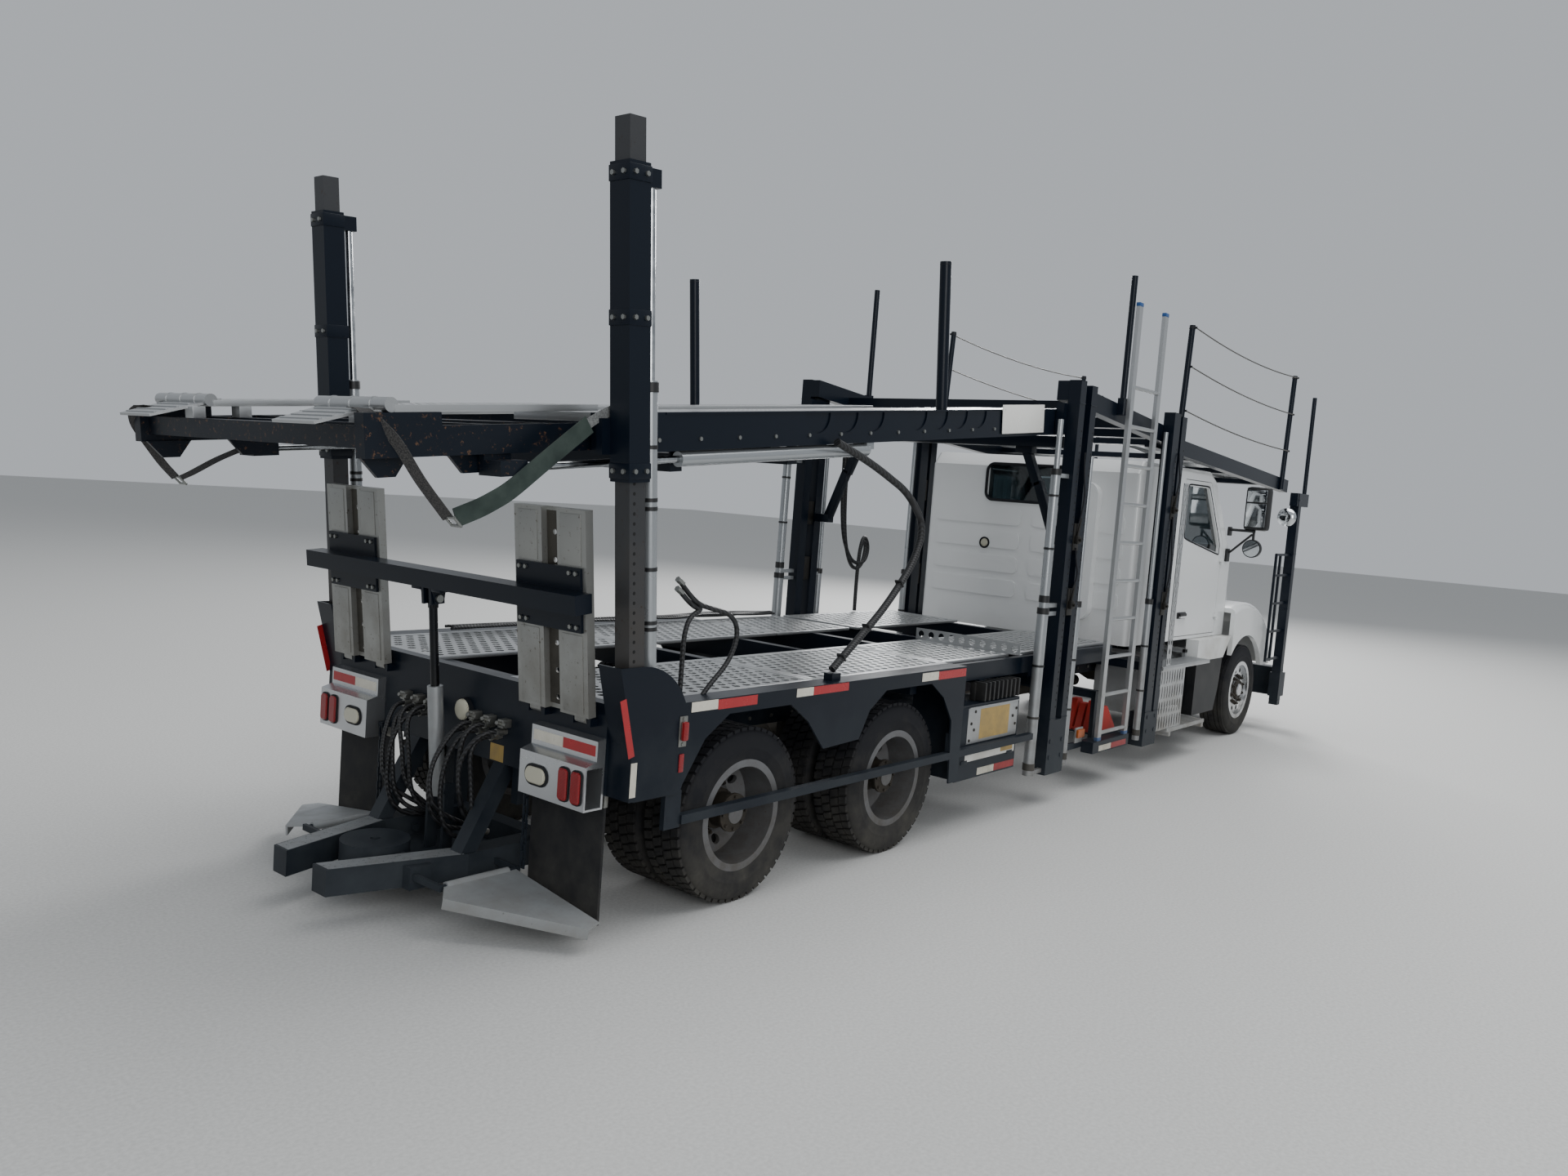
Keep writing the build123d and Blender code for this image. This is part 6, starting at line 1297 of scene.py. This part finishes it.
HOSE_RUNS = [
    # start across, height of the fitting, lowest point back, across and up, end across
    (0.400, 0.880, 9.080, 0.330, 0.480, 0.210),
    (0.360, 0.850, 9.040, 0.290, 0.420, 0.190),
    (0.310, 0.880, 9.010, 0.250, 0.500, 0.150),
    (0.250, 0.850, 9.060, 0.310, 0.380, 0.230),
    (0.210, 0.890, 9.000, 0.200, 0.450, 0.120),
    (-0.150, 0.840, 9.090, -0.110, 0.400, -0.130),
    (-0.200, 0.880, 9.120, -0.160, 0.460, -0.160),
    (-0.260, 0.850, 9.060, -0.170, 0.360, -0.210),
    (-0.310, 0.890, 9.020, -0.260, 0.480, -0.230),
    (-0.370, 0.840, 8.990, -0.330, 0.430, -0.180),
    (-0.410, 0.870, 9.050, -0.300, 0.520, -0.140),
]
centre_hoses = []
bm = bmesh.new()
for y, z, back, low_y, low_z, end_y in HOSE_RUNS:
    centre_hoses.append(
        route(
            (8.900, y, z), (8.955, y * 0.98, z + 0.012), (9.020, (y + low_y) / 2, z - 0.05),
            (back, low_y, (z + low_z) / 2), (back - 0.02, low_y, low_z), (8.930, (low_y + end_y) / 2, low_z - 0.10),
            (8.800, end_y, 0.300),
        )
    )
    put_round(bm, *route((8.850, y, z), (8.872, y, z)), 0.019, sides=6)
    put_round(bm, *route((8.872, y, z), (8.910, y, z + 0.003)), 0.0155)
    put_round(bm, *route((8.904, y, z), (8.914, y, z + 0.001)), 0.020, sides=6)
    put_round(bm, *route((8.830, end_y, 0.312), (8.790, end_y, 0.298)), 0.016)
lay_tubes("rear_beam_hoses", centre_hoses, 0.0120, spiral_hose)
for side in BOTH:
    for y in (0.19, 0.31, 0.43):
        put_round(bm, *route((8.895, y - 0.04, 0.915), (8.895, y + 0.04, 0.915), side=side), 0.013)
        put_round(bm, *route((8.895, y, 0.915), (8.925, y, 0.925), side=side), 0.010, sides=6)
        put_blocks(bm, (side,), (8.905, 8.849, y - 0.022, y + 0.022, 0.895, 0.940, 0.005))
for z in (1.705, 1.660):
    put_round(bm, *route((8.453, -1.150, z + 0.012), (8.413, -1.150, z - 0.012)), 0.016, sides=6)
finish_piece("hose_fittings", bm, zinc_plate)

# Tie-down straps: polyester webbing with sewn edges that hangs from the deck extension. The right
# one runs through a steel hook.
webbing = toned(
    "polyester_webbing_dark_green", [(0.3, "#1d2a27"), (0.75, "#3d4a44")], noise=(9.0, 5.0),
    wave=(160.0, "DIAGONAL", 0.5, 0.0006), roughness=0.85,
)
dark_webbing = toned(
    "polyester_webbing_dark_grey", [(0.35, "#222325"), (0.7, "#4a4846")], noise=(180.0, 3.0), roughness=0.85,
)
grey_webbing = toned(
    "polyester_webbing_faded_grey", [(0.35, "#5d5f60"), (0.7, "#8b8d8c")], noise=(220.0, 3.0), roughness=0.85,
)


def lay_webbing(bm, points, width, thickness=0.003, facing=(0.63, -0.776, 0), parts=6):
    """A flat strap along points, with its width as near as can be along the facing direction."""
    dense = []
    for start, end in zip(points, points[1:]):
        dense += [Vector(start).lerp(Vector(end), step / parts) for step in range(parts)]
    dense.append(Vector(points[-1]))
    for smoothing in range(3):
        inner = [(before + spot * 2 + after) / 4 for before, spot, after in zip(dense, dense[1:], dense[2:])]
        dense = [dense[0], *inner, dense[-1]]
    rings = []
    for index, spot in enumerate(dense):
        run = (dense[min(index + 1, len(dense) - 1)] - dense[max(index - 1, 0)]).normalized()
        wide = Vector(facing)
        across = (wide - run * run.dot(wide)).normalized() * width / 2
        up = run.cross(across).normalized() * thickness / 2
        rings.append([spot + across * side + up * level for side, level in ((-1, -1), (1, -1), (1, 1), (-1, 1))])
    skin(bm, rings)


bm = bmesh.new()
lay_webbing(
    bm,
    route((10.030, -0.840, 2.382), (10.035, -0.925, 2.378), (10.045, -1.000, 2.350), (9.963, -1.050, 2.266),
          (9.849, -1.055, 2.113), (9.713, -1.060, 1.968)),
    0.050,
)
lay_webbing(
    bm,
    route((10.100, 0.830, 2.356), (10.102, 0.925, 2.350), (10.105, 1.000, 2.320), (10.075, 1.045, 2.260),
          (9.939, 1.050, 2.085), (9.868, 1.050, 2.014)),
    0.050,
)
lay_webbing(
    bm,
    route((9.845, 1.050, 2.014), (9.794, 1.050, 2.040), (9.667, 1.050, 2.119), (9.550, 1.040, 2.180),
          (9.520, 0.990, 2.196)),
    0.045,
)
finish_piece("tie_down_straps", bm, dark_webbing, "deck_extension")
bm = bmesh.new()
lay_webbing(
    bm,
    route((9.690, -1.075, 1.972), (9.580, -1.095, 2.020), (9.465, -1.120, 2.090), (9.270, -1.145, 2.257),
          (9.073, -1.150, 2.408)),
    0.082, 0.006, (-0.58, 0, 0.82),
)
sleeve_strap = finish_piece("strap_in_wear_sleeve", bm, webbing, None)
bm = bmesh.new()
lay_webbing(
    bm,
    route((9.110, -1.150, 2.384), (9.060, -1.150, 2.424), (8.976, -1.152, 2.470), (8.900, -1.152, 2.500),
          (8.862, -1.152, 2.512)),
    0.046, facing=(-0.4, 0, 0.92),
)
strap_end = finish_piece("strap_end_on_deck", bm, grey_webbing, None)
for strap in (sleeve_strap, strap_end):
    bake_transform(strap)
HOOK_BAR = 0.034
HOOK_LEG = 0.032
bm = bmesh.new()
for x, z, y in ((9.705, 1.962, -1.068), (9.858, 2.008, 1.050)):
    low, high = (x - 0.028, z - 0.022), (x + 0.008, z + 0.012)
    for bar_x, bar_z in (low, high):
        put_round(bm, *route((bar_x, y - HOOK_BAR, bar_z), (bar_x, y + HOOK_BAR, bar_z)), 0.0065)
    for leg in (y - HOOK_LEG, y + HOOK_LEG):
        put_round(bm, *route((low[0], leg, low[1]), (high[0], leg, high[1])), 0.006)
finish_piece("strap_hook", bm, zinc_plate, "deck_extension")

# Wheel chocks beside the ladder foot: red moulded rubber wedges that stand loose in a navy steel
# tray on the carrier behind the cab.
red_rubber = weathered(
    "red_rubber_chock", "#b02a22", "#7a4a42", "#5c1a15", 90, 1.5, roughness=0.6, wear=0.70, dust_top=0.9,
)
bm = bmesh.new()
for rib in range(5):
    y, top = -0.800 - 0.076 * rib, 0.610 + 0.03 * (rib % 2)
    wedge = ((3.46, 0.390), (3.12, 0.390), (3.12, 0.425), (3.30, top), (3.38, top))
    skin(bm, [route(*[(x, face, z) for x, z in wedge]) for face in (y, y - 0.054)])
put_blocks(bm, (1,), (3.45, 3.13, -1.150, -0.806, 0.391, 0.412, 0.003))
finish_piece("wheel_chocks", bm, red_rubber)
bm = bmesh.new()
put_blocks(
    bm, (1,), (3.48, 3.10, -1.184, -0.790, 0.378, 0.390, 0.002), (3.48, 3.10, -0.802, -0.790, 0.389, 0.440, 0.002)
)
finish_piece("chock_tray", bm, navy_enamel)

# Amber side lamp below the ladder step: a moulded polycarbonate lens, screwed to a small bracket
# of folded aluminium on the carrier.
amber_lens = weathered(
    "amber_lens_polycarbonate", "#b5560f", "#6d4b31", "#c4701f", 60, 1.0, roughness=0.24, wear=0.72,
)
bm = bmesh.new()
put_blocks(bm, (-1,), (3.935, 3.807, 1.183, 1.196, 0.377, 0.498, 0.004))
finish_piece("amber_lamp_bracket", bm, mill_aluminium)
bm = bmesh.new()
put_blocks(bm, (-1,), (3.930, 3.812, 1.1955, 1.2180, 0.418, 0.486, 0.011))
finish_piece("amber_lamp", bm, amber_lens)
